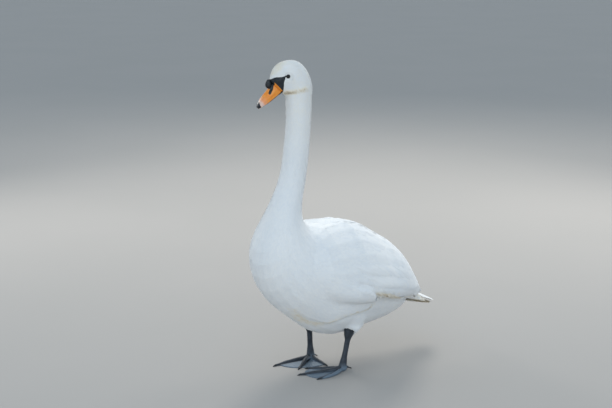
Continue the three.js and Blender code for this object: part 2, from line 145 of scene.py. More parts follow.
def edit_all(operator, **settings):
    """Runs an operator of edit mode on all of the active object."""
    bpy.ops.object.mode_set(mode="EDIT")
    bpy.ops.mesh.select_all(action="SELECT")
    operator(**settings)
    bpy.ops.object.mode_set(mode="OBJECT")


def copy_solids(name, *nodes):
    """One new object with the merged surfaces of some of the solids."""
    bpy.ops.object.select_all(action="DESELECT")
    for node in nodes:
        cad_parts[node].select_set(True)
    bpy.context.view_layer.objects.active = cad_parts[nodes[0]]
    bpy.ops.object.duplicate()
    bpy.context.view_layer.objects.active = bpy.context.selected_objects[0]
    if len(nodes) > 1:
        bpy.ops.object.join()
    piece = bpy.context.view_layer.objects.active
    piece.name = piece.data.name = name
    piece.parent = None
    for key in list(piece.keys()):
        del piece[key]
    piece.data.materials.clear()
    edit_all(bpy.ops.mesh.remove_doubles, threshold=MERGE_WITHIN)
    return piece


def smooth_shade(piece, degrees=180):
    """Shades a piece as smooth, except across edges sharper than an angle."""
    select_only(piece)
    if degrees >= 180:
        bpy.ops.object.shade_smooth()
    else:
        bpy.ops.object.shade_smooth_by_angle(angle=math.radians(degrees))


def hand_in(piece, slot, *nodes):
    """Puts a finished piece under the root and hides the solids it stands for. The slot is not used."""
    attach(piece, "root")
    if nodes:
        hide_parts(*nodes)
    print(piece.name, len(piece.data.polygons), "faces")


print("solids to copy from:", len(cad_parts))

# %% [markdown]
# Shapes that no operator gives are sculpted in numbers. The places of a mesh's corners are read as rows of
# one array, moved by a formula, and put back. A part of a mesh is also selected by a test of its places.

# %% Helpers for corners as rows of numbers
def vertex_places(piece):
    """The places of a piece's vertices, one row each, in metres."""
    places = np.empty(len(piece.data.vertices) * 3)
    piece.data.vertices.foreach_get("co", places)
    return places.reshape(-1, 3)


def vertex_normals(piece):
    """The smooth normals at a piece's vertices."""
    normals = np.empty(len(piece.data.vertices) * 3)
    piece.data.vertices.foreach_get("normal", normals)
    return normals.reshape(-1, 3)


def move_vertices(piece, places):
    """Puts a piece's vertices at new places."""
    piece.data.vertices.foreach_set("co", np.asarray(places, float).ravel())
    piece.data.update()


def select_where(piece, test):
    """Selects the vertices whose places pass a test, in edit mode."""
    chosen = test(vertex_places(piece))
    select_only(piece)
    bpy.ops.object.mode_set(mode="EDIT")
    bpy.ops.mesh.select_all(action="DESELECT")
    bpy.ops.object.mode_set(mode="OBJECT")
    piece.data.vertices.foreach_set("select", chosen)
    bpy.ops.object.mode_set(mode="EDIT")
    bpy.ops.mesh.select_mode(type="VERT")


def smooth_where(piece, test, rounds, cuts=0):
    """Smooths the vertices whose places pass a test, after their faces are cut finer if asked."""
    select_where(piece, test)
    if cuts:
        bpy.ops.mesh.subdivide(number_cuts=cuts, smoothness=0)
    bpy.ops.mesh.vertices_smooth(factor=0.5, repeat=rounds)
    bpy.ops.object.mode_set(mode="OBJECT")


def smooth_step(values, low, high):
    """From 0 at low to 1 at high, with a soft start and end."""
    share = np.clip((values - low) / (high - low), 0, 1)
    return share * share * (3 - 2 * share)


print("the trunk's solid has", len(vertex_places(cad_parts["trunk"])), "corners")

# %% [markdown]
# The floor is a plain pale sheet. The lights are large and soft: a broad warm one high behind the bird, a
# cooler one in front, and two smaller ones at its sides, which edge its neck and crown. A pale sky does all
# the rest. The camera stands at a grown person's chest height, ahead of the bird and to its left.

# %% Floor, light and camera
CAMERA_PLACE = (2492, -2019, 1300)
CAMERA_TURN = 52  # degrees from looking straight at the bird's front
CAMERA_DROP = 13.7  # degrees below level
PICTURE_WIDTH = 612  # pixels
FOCAL_PIXELS = 1100
SENSOR = 36  # millimetres
FLOOR_SIZE = 120
SKY_COLOUR, SKY_STRENGTH = (0.75, 0.88, 1, 1), 0.72
# Each square lamp: its place and the place it faces, in metres, its size, its power and its colour.
LAMPS = {
    "light_behind": ((-2.3, 2.4, 3.3), (0, 0, 0.5), 1.4, 76, (1, 0.95, 0.87)),
    "light_front": ((2.9, -2.9, 1.9), (0, 0, 0.4), 2.6, 44, (0.86, 0.94, 1)),
    "light_rim_left": ((-2.9, -0.5, 1.5), (0, -0.1, 0.7), 0.7, 18, (1, 0.97, 0.92)),
    "light_rim_right": ((-0.4, 2.9, 1.5), (0, -0.1, 0.7), 0.7, 18, (1, 0.97, 0.92)),
}

bpy.ops.object.select_all(action="DESELECT")
bpy.ops.object.camera_add(location=in_frame(CAMERA_PLACE))
camera = bpy.context.object
camera.rotation_euler = (math.radians(90 - CAMERA_DROP), 0, math.radians(CAMERA_TURN))
camera.data.sensor_width = SENSOR
camera.data.lens = SENSOR * FOCAL_PIXELS / PICTURE_WIDTH
camera.data.clip_end = 200
bpy.context.scene.camera = camera
bpy.context.scene.view_settings.view_transform = "Standard"

for name, (place, aim, size, power, colour) in LAMPS.items():
    bpy.ops.object.light_add(type="AREA", location=place)
    lamp = bpy.context.object
    lamp.name = name
    lamp.rotation_euler = (Vector(aim) - Vector(place)).to_track_quat("-Z", "Y").to_euler()
    lamp.data.size, lamp.data.energy, lamp.data.color = size, power, colour

world = bpy.data.worlds.new("studio_air")
bpy.context.scene.world = world
world.use_nodes = True
sky = world.node_tree.nodes["Background"]
sky.inputs["Color"].default_value = SKY_COLOUR
sky.inputs["Strength"].default_value = SKY_STRENGTH

bpy.ops.mesh.primitive_grid_add(x_subdivisions=8, y_subdivisions=8, size=FLOOR_SIZE)
floor = bpy.context.object
floor.name = "floor"
print("camera lens", round(camera.data.lens, 1), "mm, and", len(LAMPS), "lamps")

# %% [markdown]
# A material is a tree of nodes. A few small helpers keep each tree short to write. The first adds a node and
# sets or links its inputs, and the others use it, for sums, soft edges and mixtures. A Mix node has inputs
# for each kind of value, and those for colours are numbers 6 and 7.

# %% Helpers for node trees
FLOAT, COLOUR = "NodeSocketFloat", "NodeSocketColor"


def add_node(tree, kind, inputs=None, **settings):
    """A node with its settings made and its inputs set to values or linked to sockets."""
    made = tree.nodes.new("ShaderNode" + kind)
    for name, value in settings.items():
        setattr(made, name, value)
    for name, value in (inputs or {}).items():
        if isinstance(value, bpy.types.NodeSocket):
            tree.links.new(value, made.inputs[name])
        else:
            made.inputs[name].default_value = value
    return made


def maths(tree, operation, *values):
    """The result socket of one sum."""
    return add_node(tree, "Math", dict(enumerate(values)), operation=operation).outputs[0]


def soft_edge(tree, value, low, high):
    """0 at low and 1 at high, with a soft change between. Low may be the larger of the two."""
    inputs = {"Value": value, "From Min": low, "From Max": high}
    return add_node(tree, "MapRange", inputs, interpolation_type="SMOOTHSTEP").outputs[0]


def mix_colour(tree, share, first, second):
    """The first colour where the share is 0, and the second where it is 1."""
    inputs = {"Factor": share, 6: first, 7: second}
    return add_node(tree, "Mix", inputs, data_type="RGBA").outputs[2]


print("nodes are made by names such as", bpy.types.ShaderNodeMix.bl_rna.identifier)

# %% [markdown]
# Patterns come next: clouds, bumps, and numbers that a piece carries. A group is a tree that several
# materials can use, each with its own values.

# %% Helpers for patterns, groups and materials
def own_metres(tree):
    """A point's place on the object itself, in metres."""
    return add_node(tree, "TexCoord").outputs["Object"]


def noise(tree, scale, detail=2.0, roughness=0.5):
    """A cloudy pattern from 0 to 1, with about this many clouds to a metre."""
    inputs = {"Vector": own_metres(tree), "Scale": scale, "Detail": detail, "Roughness": roughness}
    return add_node(tree, "TexNoise", inputs).outputs[0]


def bump(tree, height, strength, distance):
    """A normal tipped by the slope of a height."""
    inputs = {"Height": height, "Strength": strength, "Distance": distance}
    return add_node(tree, "Bump", inputs).outputs[0]


def attribute(tree, name):
    """A number that a piece carries at each vertex."""
    return add_node(tree, "Attribute", attribute_name=name).outputs["Fac"]


def new_group(name, inputs, outputs):
    """An empty group with named sockets. Returns the group, its inputs and its output node."""
    group = bpy.data.node_groups.new(name, "ShaderNodeTree")
    for label, kind in inputs.items():
        group.interface.new_socket(label, in_out="INPUT", socket_type=kind)
    for label, kind in outputs.items():
        group.interface.new_socket(label, in_out="OUTPUT", socket_type=kind)
    start = group.nodes.new("NodeGroupInput")
    end = group.nodes.new("NodeGroupOutput")
    return group, start.outputs, end


def use_group(tree, group, inputs=None):
    """A group's output sockets, after it is placed in a tree."""
    return add_node(tree, "Group", inputs, node_tree=group).outputs


def new_material(name, **values):
    """A material, its tree and its Principled shader, with values that are the same all over."""
    material = bpy.data.materials.new(name)
    material.use_nodes = True
    shader = material.node_tree.nodes["Principled BSDF"]
    for label, value in values.items():
        shader.inputs[label.replace("_", " ")].default_value = value
    return material, material.node_tree, shader


print("group sockets are of the kinds", FLOAT, "and", COLOUR)


# %% [markdown]
# The floor is matt and nearly even, with only a faint cloudiness, so that nothing on it draws the eye.

# %% Floor finish
FLOOR_COLOURS = (0.41, 0.392, 0.372, 1), (0.42, 0.40, 0.38, 1)

material, tree, shader = new_material("studio_floor", Roughness=0.85)
tone = soft_edge(tree, noise(tree, 1.2), 0.3, 0.7)
tree.links.new(mix_colour(tree, tone, *FLOOR_COLOURS), shader.inputs["Base Color"])
floor.data.materials.append(material)
print("floor finish of", len(tree.nodes), "nodes")

# %% [markdown]
# The black of a swan's face has a sharp outline: a pointed patch from the eye to the bill's root, a rounded
# cap over the knob, and a streak along the nostril. Each is a simple shape in the head's own directions.
# The patch is bounded by five straight lines, and the same five lines tell the feathers where to stop.

# %% The outline of the bare face
# Lines along the patch's edge as (along, up) pairs. The patch lies below one of the first two or the other,
# below the third, and above at least one of the cheek's.
BROW_LINES = [((5.0, 6.2), (15.0, 10.4)), ((15.0, 10.4), (28.0, 21.2)), ((28.0, 21.2), (48.0, 23.0))]
CHEEK_LINES = [((18.5, -2.0), (5.0, 3.0)), ((39.5, -29.5), (18.5, -2.0))]
BARE_TO = 62  # the patch ends this far along, inside the bill
BROW_ROUND, CHEEK_ROUND, CORNER_ROUND = 5.0, 6.0, 2.0


def line_factors(line):
    """a, b and c, so that a * along + b * up + c is the distance to a line's left side."""
    (x0, z0), (x1, z1) = line
    length = math.hypot(x1 - x0, z1 - z0)
    a, b = (z1 - z0) / length, -(x1 - x0) / length
    return a, b, -(a * x0 + b * z0)


EDGE_FACTORS = [line_factors(line) for line in BROW_LINES + CHEEK_LINES]


def softly_least(a, b, reach):
    """The smaller of two numbers, with a rounded change from one to the other, as the Math node has it."""
    near = np.clip(reach - np.abs(a - b), 0, None) / reach
    return np.minimum(a, b) - near**3 * reach / 6


def bare_depth(places):
    """How far inside the bare patch places in the frame lie, in millimetres; below 0 is outside it."""
    along, _, up = in_head(places).T
    lines = [a * along + b * up + c for a, b, c in EDGE_FACTORS]
    brow = softly_least(-softly_least(-lines[0], -lines[1], BROW_ROUND), lines[2], BROW_ROUND)
    cheek = -softly_least(-lines[3], -lines[4], CHEEK_ROUND)
    return np.minimum(softly_least(brow, cheek, CORNER_ROUND), BARE_TO - along)


print("inside at the patch's middle", bare_depth([head_place(28, 0, 20)]).round(1))
print("outside at the cheek", bare_depth([head_place(5, -15, 22)]).round(1))

# %% [markdown]
# In a material, the same numbers come from a Mapping node of the Texture kind, which undoes the head's place
# and turn. It sits in a group together with the patch, as the skin and the bill both need them.

# %% A node group for places on the head
head_group, _, end = new_group("head_places", {}, {"Along": FLOAT, "Up": FLOAT, "Bare": FLOAT})
tree = head_group
turn = Matrix(HEAD.T.tolist()).to_euler()
sizes = {"Vector": own_metres(tree), "Location": between_eyes, "Rotation": turn, "Scale": (MM, MM, MM)}
mapping = add_node(tree, "Mapping", sizes, vector_type="TEXTURE")
along, _, up = add_node(tree, "SeparateXYZ", {0: mapping.outputs[0]}).outputs
distances = []
for a, b, c in EDGE_FACTORS:
    distances.append(maths(tree, "MULTIPLY_ADD", along, a, maths(tree, "MULTIPLY_ADD", up, b, c)))
below_brow = maths(tree, "SMOOTH_MAX", distances[0], distances[1], BROW_ROUND)
below_brow = maths(tree, "SMOOTH_MIN", below_brow, distances[2], BROW_ROUND)
above_cheek = maths(tree, "SMOOTH_MAX", distances[3], distances[4], CHEEK_ROUND)
inside = maths(tree, "SMOOTH_MIN", below_brow, above_cheek, CORNER_ROUND)
inside = maths(tree, "MINIMUM", inside, maths(tree, "SUBTRACT", BARE_TO, along))
for label, socket in (("Along", along), ("Up", up), ("Bare", inside)):
    tree.links.new(socket, end.inputs[label])
print("head group of", len(tree.nodes), "nodes")

# %% [markdown]
# Plumage is white, a little warmer in some feathers than in others. Soil stains it cream and then brown, and
# the same cream and brown also paint shade under the free edges of feather sheets and a glow of light through
# the tail. Stain and painted light come in as one number for each vertex, and a cloudy noise breaks it up.
# Skin and feathers share this.

# %% A node group for the colour of plumage
COOL, WARM, IVORY = (0.85, 0.87, 0.89, 1), (0.92, 0.92, 0.91, 1), (0.92, 0.87, 0.76, 1)
# Cream and brown colour real stain, and also painted shade under feather edges and a painted glow under the
# tail.
CREAM, BROWN = (0.72, 0.62, 0.47, 1), (0.30, 0.20, 0.12, 1)
CLOUDS_SHARE = 0.4  # of the tone; the rest comes with each feather

plumage_group, start, end = new_group("plumage_colour", {"Stain": FLOAT, "Tone": FLOAT}, {"Colour": COLOUR})
tree = plumage_group
broad = soft_edge(tree, noise(tree, 9, 3), 0.3, 0.7)
clouds = maths(tree, "MULTIPLY", broad, CLOUDS_SHARE)
tone = maths(tree, "MULTIPLY_ADD", start["Tone"], 1 - CLOUDS_SHARE, clouds)
colour = mix_colour(tree, tone, COOL, WARM)
patchy = soft_edge(tree, noise(tree, 55, 5, 0.65), 0.25, 0.75)
stain = maths(tree, "MULTIPLY", start["Stain"], maths(tree, "MULTIPLY_ADD", patchy, 0.8, 0.5))
for stage, low, high in ((IVORY, 0.0, 0.3), (CREAM, 0.15, 0.65), (BROWN, 0.45, 1.25)):
    colour = mix_colour(tree, soft_edge(tree, stain, low, high), colour, stage)
tree.links.new(colour, end.inputs["Colour"])
print("plumage group of", len(tree.nodes), "nodes")

# %% [markdown]
# The bill is orange, pinker towards its tip, with a pale patch behind the nail. Its black streak and the cap
# round the knob are capsules in the head's directions. The orange runs a little way onto the lores, so its
# colour is a group too, which says on which side of the orange's own edge a place is.

# %% A node group for the bill's colour
BLACK = (0.010, 0.012, 0.016, 1)
DEEP_ORANGE, ORANGE = (0.90, 0.27, 0.022, 1), (0.96, 0.37, 0.05, 1)
PINK, PALE_TIP = (0.90, 0.42, 0.26, 1), (0.80, 0.62, 0.54, 1)
# Black capsules: two (along, up) ends and a radius, for the streak's two lengths and the cap over the knob.
BLACK_CAPSULES = [((44.5, 9.8), (58.5, 0.4), 3.7), ((58.5, 0.4), (69.0, -4.2), 3.5)]
BLACK_CAPSULES += [((54.0, 12.0), (54.8, 12.0), 10.0)]
BLACK_ABOVE = 11.0
CUTTING_EDGE = (0.045, -25.6)  # slope along the bill, and height where along is 0
ROOT_SLOPE, ROOT_FROM, ROOT_TO = -0.083, 38.5, 39.1  # the orange's edge leans back as it rises


def capsule(tree, along, up, start, finish, radius):
    """How far inside a round-ended streak between two (along, up) places a point is, in millimetres."""
    (x0, z0), (x1, z1) = start, finish
    length = math.hypot(x1 - x0, z1 - z0)
    dx, dz = (x1 - x0) / length, (z1 - z0) / length
    reach = maths(tree, "MULTIPLY_ADD", along, dx, -(x0 * dx + z0 * dz))
    reach = maths(tree, "MULTIPLY_ADD", up, dz, reach)
    held = add_node(tree, "Clamp", {"Value": reach, "Min": 0.0, "Max": length}).outputs[0]
    beside = maths(tree, "MULTIPLY_ADD", held, -dx, maths(tree, "SUBTRACT", along, x0))
    above = maths(tree, "MULTIPLY_ADD", held, -dz, maths(tree, "SUBTRACT", up, z0))
    square = maths(tree, "MULTIPLY_ADD", beside, beside, maths(tree, "MULTIPLY", above, above))
    return maths(tree, "SUBTRACT", radius, maths(tree, "SQRT", square))


bill_group, _, end = new_group("bill_colour", {}, {"Colour": COLOUR, "Orange Side": FLOAT})
tree = bill_group
head = use_group(tree, head_group)
along, up = head["Along"], head["Up"]
cloud = noise(tree, 90, 3)
pinker = soft_edge(tree, maths(tree, "MULTIPLY_ADD", cloud, 14.0, along), 88, 118)
orange = mix_colour(tree, soft_edge(tree, cloud, 0.3, 0.7), DEEP_ORANGE, ORANGE)
orange = mix_colour(tree, pinker, orange, PINK)
tip = maths(tree, "MULTIPLY", soft_edge(tree, along, 99, 106), 0.75)
orange = mix_colour(tree, tip, orange, PALE_TIP)
black = maths(tree, "SUBTRACT", up, BLACK_ABOVE)
for shape in BLACK_CAPSULES:
    black = maths(tree, "MAXIMUM", black, capsule(tree, along, up, *shape))
cutting_edge = maths(tree, "MULTIPLY_ADD", along, *CUTTING_EDGE)
black = maths(tree, "MAXIMUM", black, maths(tree, "SUBTRACT", cutting_edge, up))
wobble = maths(tree, "MULTIPLY_ADD", noise(tree, 400, 2), 1.2, -0.6)
black = soft_edge(tree, maths(tree, "ADD", black, wobble), -0.35, 0.35)
root_line = maths(tree, "MULTIPLY_ADD", up, ROOT_SLOPE, along)
root_line = maths(tree, "ADD", root_line, maths(tree, "MULTIPLY", wobble, 0.7))
tree.links.new(mix_colour(tree, black, orange, BLACK), end.inputs["Colour"])
tree.links.new(soft_edge(tree, root_line, ROOT_FROM, ROOT_TO), end.inputs["Orange Side"])
print("bill group of", len(tree.nodes), "nodes")

# %% [markdown]
# ## The skin
# Under the feathers of a real bird is one skin. Here it is grown from copies of the ten solids of flesh.
# They are swollen by a hair so that the thin cuts between them close, and then a voxel remesh wraps them in
# one even net of small faces, as a shrink film would. The eyeballs are wrapped in too, so the head has no
# holes. A grid with a thick wall fills the slot between the folded wings, where a real bird's shoulder
# feathers lie.

# %% One skin from the solids of flesh
FLESH = ["trunk", "neck_lower", "neck_middle", "neck_upper", "head", "wing_left", "wing_right", "tail"]
FLESH += ["shank_left", "shank_right"]
SWELL = 0.0006  # metres
SKIN_GRAIN = 0.0037  # metres

# The filling of the slot: its middle line as (y, z), and its sizes, in the bird's millimetres.
BACK_LINE = [(-15, 459), (20, 461), (60, 457), (100, 446), (140, 427), (180, 401), (220, 377), (260, 343)]
BACK_LINE += [(280, 318), (300, 286), (320, 245), (335, 215)]
BACK_HALF_WIDTH, BACK_LIFT, BACK_DIP, BACK_WALL = 18, 3.0, 0.6, 45

bpy.ops.mesh.primitive_grid_add(x_subdivisions=8, y_subdivisions=60, size=2)
bridge = bpy.context.object
across, lengthwise, _ = vertex_places(bridge).T
line = np.array(BACK_LINE, float)
y = np.interp(lengthwise, [-1, 1], [line[0, 0], line[-1, 0]])
z = np.interp(y, line[:, 0], line[:, 1]) + BACK_LIFT + BACK_DIP * across**2
move_vertices(bridge, in_frame(np.column_stack([across * BACK_HALF_WIDTH, y, z])))
finish_with(bridge, "SOLIDIFY", thickness=BACK_WALL * MM, offset=-1)

skin = copy_solids("skin", *FLESH, "eye_left", "eye_right")
bridge.select_set(True)
bpy.ops.object.join()
finish_with(skin, "DISPLACE", strength=SWELL, mid_level=0)
finish_with(skin, "REMESH", mode="VOXEL", voxel_size=SKIN_GRAIN)
edit_all(bpy.ops.mesh.separate, type="LOOSE")
shells = sorted(bpy.context.selected_objects, key=lambda piece: len(piece.data.vertices))
for crumb in shells[:-1]:
    bpy.data.objects.remove(crumb)
skin = shells[-1]
skin.name = skin.data.name = "skin"
finish_with(skin, "SMOOTH", factor=0.5, iterations=5)
print("skin", len(skin.data.polygons), "faces, and", len(shells) - 1, "crumbs removed")

# %% [markdown]
# The face needs finer faces than the body, for the bare skin's edge and the lids. So the faces from the eyes
# forward are selected by their place and subdivided, and the new corners are smoothed. The ring of face just
# round each eyeball is made finer once more.

# %% Finer faces on the face
FACE_FROM = -14  # millimetres along the bill, from between the eyes
FACE_LOWEST = 858  # millimetres above the floor
EYE_RING = 9.5  # millimetres from the middle of an eyeball
eye_middles = {1: middle("eye_left"), -1: middle("eye_right")}


def least_gap(places, targets):
    """How far places are from the nearer of two targets."""
    return np.minimum(*(np.linalg.norm(places - target, axis=1) for target in targets))


def on_face(places):
    """Whether places are on the face, from the eyes forward."""
    return (in_head(places)[:, 0] > FACE_FROM) & (on_bird(places)[:, 2] > FACE_LOWEST)


def round_the_eyes(places):
    """Whether places are just round an eyeball."""
    return least_gap(places, eye_middles.values()) / MM < EYE_RING


smooth_where(skin, on_face, rounds=6, cuts=2)
smooth_where(skin, round_the_eyes, rounds=3, cuts=2)
print("skin with its finer face", len(skin.data.polygons), "faces")

# %% [markdown]
# ## The lie of the feathers
# Feathers lie away from the bill: over the crown and cheeks, down the neck, round the breast and back to
# the tail. Two guide lines say this, one along the nape and back and one along the throat and belly. A
# point's share of the way along them, and from the one to the other, gives its direction. The same two
# numbers unroll the skin into a flat map.

# %% Guide lines of the body
# Pairs of places (y, z), in the bird's millimetres, from the bill's root to the tail's end: the upper line
# and the lower line.
UPPER_LINE = [(-188, 900), (-161, 948), (-114, 956), (-75, 925), (-60, 868), (-62, 785), (-74, 660)]
UPPER_LINE += [(-97, 563), (-103, 520), (-101, 497), (-96, 487), (-87, 480), (-60, 474), (20, 460)]
UPPER_LINE += [(95, 430), (170, 385), (240, 322), (300, 258), (338, 210), (400, 160), (457, 122)]
LOWER_LINE = [(-151, 864), (-150, 862), (-147, 860), (-144, 857), (-141, 851), (-138, 785), (-151, 662)]
LOWER_LINE += [(-187, 556), (-235, 475), (-258, 384), (-240, 306), (-193, 237), (-115, 170), (5, 105)]
LOWER_LINE += [(85, 107), (160, 112), (232, 120), (292, 136), (330, 160), (400, 140), (457, 118)]
GUIDE_STEPS = 240


def curve_through(knots, count):
    """Evenly spread places on a smooth curve through some knots."""
    knots = np.array(knots, float)
    ends = np.vstack([2 * knots[0] - knots[1], knots, 2 * knots[-1] - knots[-2]])
    at = np.linspace(0, len(knots) - 1 - 1e-9, count)
    i = at.astype(int)
    s = (at - i)[:, None]
    before, start, stop, after = ends[i], ends[i + 1], ends[i + 2], ends[i + 3]
    return 0.5 * (2 * start + (stop - before) * s + (2 * before - 5 * start + 4 * stop - after) * s**2
                  + (3 * start - before - 3 * stop + after) * s**3)


upper_guide = curve_through(UPPER_LINE, GUIDE_STEPS)
lower_guide = curve_through(LOWER_LINE, GUIDE_STEPS)
print("guide lines of", GUIDE_STEPS, "steps each")

# %% [markdown]
# The head is turned to the bird's right, and the neck twists with it little by little. So a place on the neck
# or head is turned back by its share of that before it is compared with the guides.

# %% A place's share of the guides
NECK_AXIS = np.array([0, -100, 0])
HEAD_TURN = math.asin(-float(head_level[0]))
TURN_FROM_Z, TURN_TO_Z = 560, 850
AT_ONCE = 20000  # places compared with the guides at one time, to spare memory


def turned(vectors, heights, sense=1):
    """Turns level parts of vectors by the share of the head's turn at some heights."""
    angle = -sense * HEAD_TURN * smooth_step(heights, TURN_FROM_Z, TURN_TO_Z)
    cos, sin = np.cos(angle), np.sin(angle)
    x, y, z = np.asarray(vectors, float).T
    return np.column_stack([x * cos - y * sin, x * sin + y * cos, z])


def place_on_body(places):
    """For places in the frame: their share from bill to tail, and from the upper line to the lower."""
    point = on_bird(places)
    point = turned(point - NECK_AXIS, point[:, 2], -1) + NECK_AXIS
    reach = lower_guide - upper_guide
    size = (reach**2).sum(1)
    step = np.empty(len(point))
    share = np.empty(len(point))
    for start in range(0, len(point), AT_ONCE):
        rows = slice(start, start + AT_ONCE)
        offset = point[rows, None, 1:] - upper_guide[None]
        along = np.clip((offset * reach).sum(2) / size, -0.15, 1.15)
        away = ((offset - along[..., None] * reach) ** 2).sum(2)
        nearest = away.argmin(1)
        step[rows] = nearest
        share[rows] = along[np.arange(len(nearest)), nearest]
    return step / (GUIDE_STEPS - 1), share, point


crown_side = head_place(0, 10, 27)[None]
step, share, _ = place_on_body(crown_side)
print("the crown's side is at", step.round(2), "along and", share.round(2), "down")

# %% [markdown]
# Between the guides a direction is mixed from both by its share, turned with the head, and laid flat on the
# skin. Round each ankle the feathers point down the leg instead.

# %% The direction of a feather
ANKLES = {1: np.array([62, 52, 126]), -1: np.array([-68, -2, 127])}  # left, right
ANKLE_REACH = 26, 62  # all the feathers nearer than the first point down, and none beyond the second
DOWN_THE_LEG = np.array([0, 0.25, -1])


def along_skin(directions, normals):
    """Directions with their part square to the skin taken away, of length one."""
    return unit(directions - (directions * normals).sum(1, keepdims=True) * normals)


def feather_lie(places, normals):
    """The direction in which a feather points at some places, lying along the skin."""
    step, share, point = place_on_body(places)
    index = np.clip((step * (GUIDE_STEPS - 1)).astype(int), 1, GUIDE_STEPS - 2)
    upper_way = upper_guide[index + 1] - upper_guide[index - 1]
    lower_way = lower_guide[index + 1] - lower_guide[index - 1]
    share = np.clip(share, 0, 1)[:, None]
    flat = (1 - share) * upper_way + share * lower_way
    way = unit(turned(np.column_stack([np.zeros(len(flat)), flat]), point[:, 2]))
    for side, ankle in ANKLES.items():
        near = np.linalg.norm((point - ankle) * (1, 1, 0.55), axis=1)
        pull = (1 - smooth_step(near, *ANKLE_REACH))[:, None] * (np.sign(point[:, :1]) == side)
        way = unit(way * (1 - pull) + DOWN_THE_LEG * pull)
    return along_skin(way, normals)


print("lie at the crown's side", feather_lie(crown_side, head_left[None]).round(2))

# %% [markdown]
# ## Shaping the skin
# Over the flank a swan's side feathers hang as one loose apron with a free lower edge and a rounded end that
# laps the wing. Behind it the folded wing's own lower edge stands clear of the body. Both are raised on the
# skin as low steps, so first their outlines are drawn, as seen from the side.

# %% The flank's apron and the wing's edge
# Places (y, z) in the bird's millimetres.
APRON = [(-205, 262), (-165, 231), (-121, 200), (-83, 185), (-62, 180), (-40, 187), (-15, 197), (17, 202)]
APRON += [(45, 202), (66, 201), (77, 207), (80, 219), (74, 240), (64, 262), (46, 280), (10, 293), (-30, 308)]
APRON += [(-85, 335), (-130, 400), (-215, 420), (-240, 330)]
WING_EDGE = [(40, 276), (62, 269), (90, 260), (120, 249), (160, 231), (200, 213), (240, 201), (300, 190)]
WING_EDGE += [(376, 181)]
WING_FROM, WING_TOP = 20, 480


def outline_depth(points, outline):
    """How far inside a closed outline flat points lie; below 0 is outside it."""
    corners = np.array(outline, float)
    following = np.roll(corners, -1, axis=0)
    edge = following - corners
    offset = points[:, None] - corners[None]
    along = np.clip((offset * edge).sum(2) / (edge**2).sum(1), 0, 1)
    away = np.sqrt(((offset - along[..., None] * edge) ** 2).sum(2)).min(1)
    y, z = points[:, 0, None], points[:, 1, None]
    crosses = (corners[:, 1] > z) != (following[:, 1] > z)
    with np.errstate(divide="ignore", invalid="ignore"):
        at = corners[:, 0] + (z - corners[:, 1]) * edge[:, 0] / edge[:, 1]
    inside = (crosses & (y < at)).sum(1) % 2 == 1
    return np.where(inside, away, -away)


def apron_depth(point):
    """How far inside the apron's outline places of the bird are."""
    return outline_depth(point[:, 1:], APRON)


def on_wing(point):
    """How far above the wing's lower edge places are, where there is wing; below 0 elsewhere."""
    x, y, z = np.abs(point[:, 0]), point[:, 1], point[:, 2]
    edge_height = np.interp(y, *np.array(WING_EDGE, float).T)
    inside = np.minimum(z - edge_height, 0.8 * (y - WING_FROM))
    return np.where(z < WING_TOP, np.minimum(inside, x + 4), -50)


def jaw_height(places):
    """How far above the line of the jaw places are, where the cheek's feathers end over the neck's."""
    along, _, up = in_head(places).T
    return (up + 55.7 - 0.512 * along) * 0.89


def bump_between(values, low, high):
    """1 halfway between two values, and 0 at both and beyond them."""
    return np.sin(np.clip((values - low) / (high - low), 0, 1) * math.pi) ** 2


print("apron depth at its middle", apron_depth(np.array([[160.0, 0, 250]])).round(1))

# %% [markdown]
# The solids reach out to the feather tips, so the skin is moved in by the coat's depth: least on the face,
# more on the neck, most on the body, and never through a thin part such as the tail. A ray cast inwards
# measures how thick the bird is there. First the wing's edge is melted away where the apron will cover it.

# %% How far the skin moves in
FACE_COAT, NECK_COAT, BODY_COAT = 0.9, 2.2, 3.2  # millimetres
FACE_Z, SHOULDER_Z = (845, 885), (480, 600)  # heights over which the one gives way to the next
MOST_OF_THICKNESS = 0.3
THIN_FROM_Y = 180
MELT_ROUNDS = 70


def under_apron(places):
    """Where the wing's lower front edge has to melt into the side feathers."""
    point = on_bird(places)
    return (apron_depth(point) > 4) & (point[:, 1] > -150) & (np.abs(point[:, 0]) > 60)


smooth_where(skin, under_apron, MELT_ROUNDS)
places, normals = vertex_places(skin), vertex_normals(skin)
point = on_bird(places)
x, y, z = np.abs(point[:, 0]), point[:, 1], point[:, 2]

wrapped = BVHTree.FromPolygons(places.tolist(), [tuple(face.vertices) for face in skin.data.polygons])
thickness = np.full(len(places), 1.0)
for i in np.flatnonzero(y > THIN_FROM_Y):
    hit = wrapped.ray_cast(Vector(places[i] - normals[i] * 2e-4), Vector(-normals[i]), 0.1)
    if hit[3] is not None:
        thickness[i] = hit[3]
depth = FACE_COAT + (NECK_COAT - FACE_COAT) * (1 - smooth_step(z, *FACE_Z))
depth = depth + (BODY_COAT - NECK_COAT) * (1 - smooth_step(z, *SHOULDER_Z))
depth = np.minimum(depth, MOST_OF_THICKNESS * thickness / MM)
print("coat from", depth.min().round(2), "to", depth.max().round(2), "mm deep")

# %% [markdown]
# Each vertex then moves along its own normal, by its steps less the coat's depth. The apron's step is highest
# at its blunt rear end, with a valley behind it. The wing's step has a shallow groove below it. The cheek
# swells a little over the neck, and the bare patch lies level with the feathers round it.

# %% Move the skin in, and raise its steps
APRON_RISE, APRON_VALLEY, WING_RISE, JAW_RISE, BARE_RISE = 11.0, 4.0, 4.0, 1.1, 0.4  # millimetres

apron = apron_depth(point)
blunt = smooth_step(y, -120, 20)
apron_rise = (0.45 + 0.55 * blunt) * APRON_RISE * smooth_step(apron, -2.5, 7)
apron_rise *= 1 - 0.8 * smooth_step(apron, 22, 85)
apron_rise -= APRON_VALLEY * blunt * bump_between(apron, -22, -2.5)
apron_rise *= smooth_step(y, -215, -40) * (1 - smooth_step(z, 255, 330) * (y < 0))
apron_rise *= smooth_step(x, 15, 60)

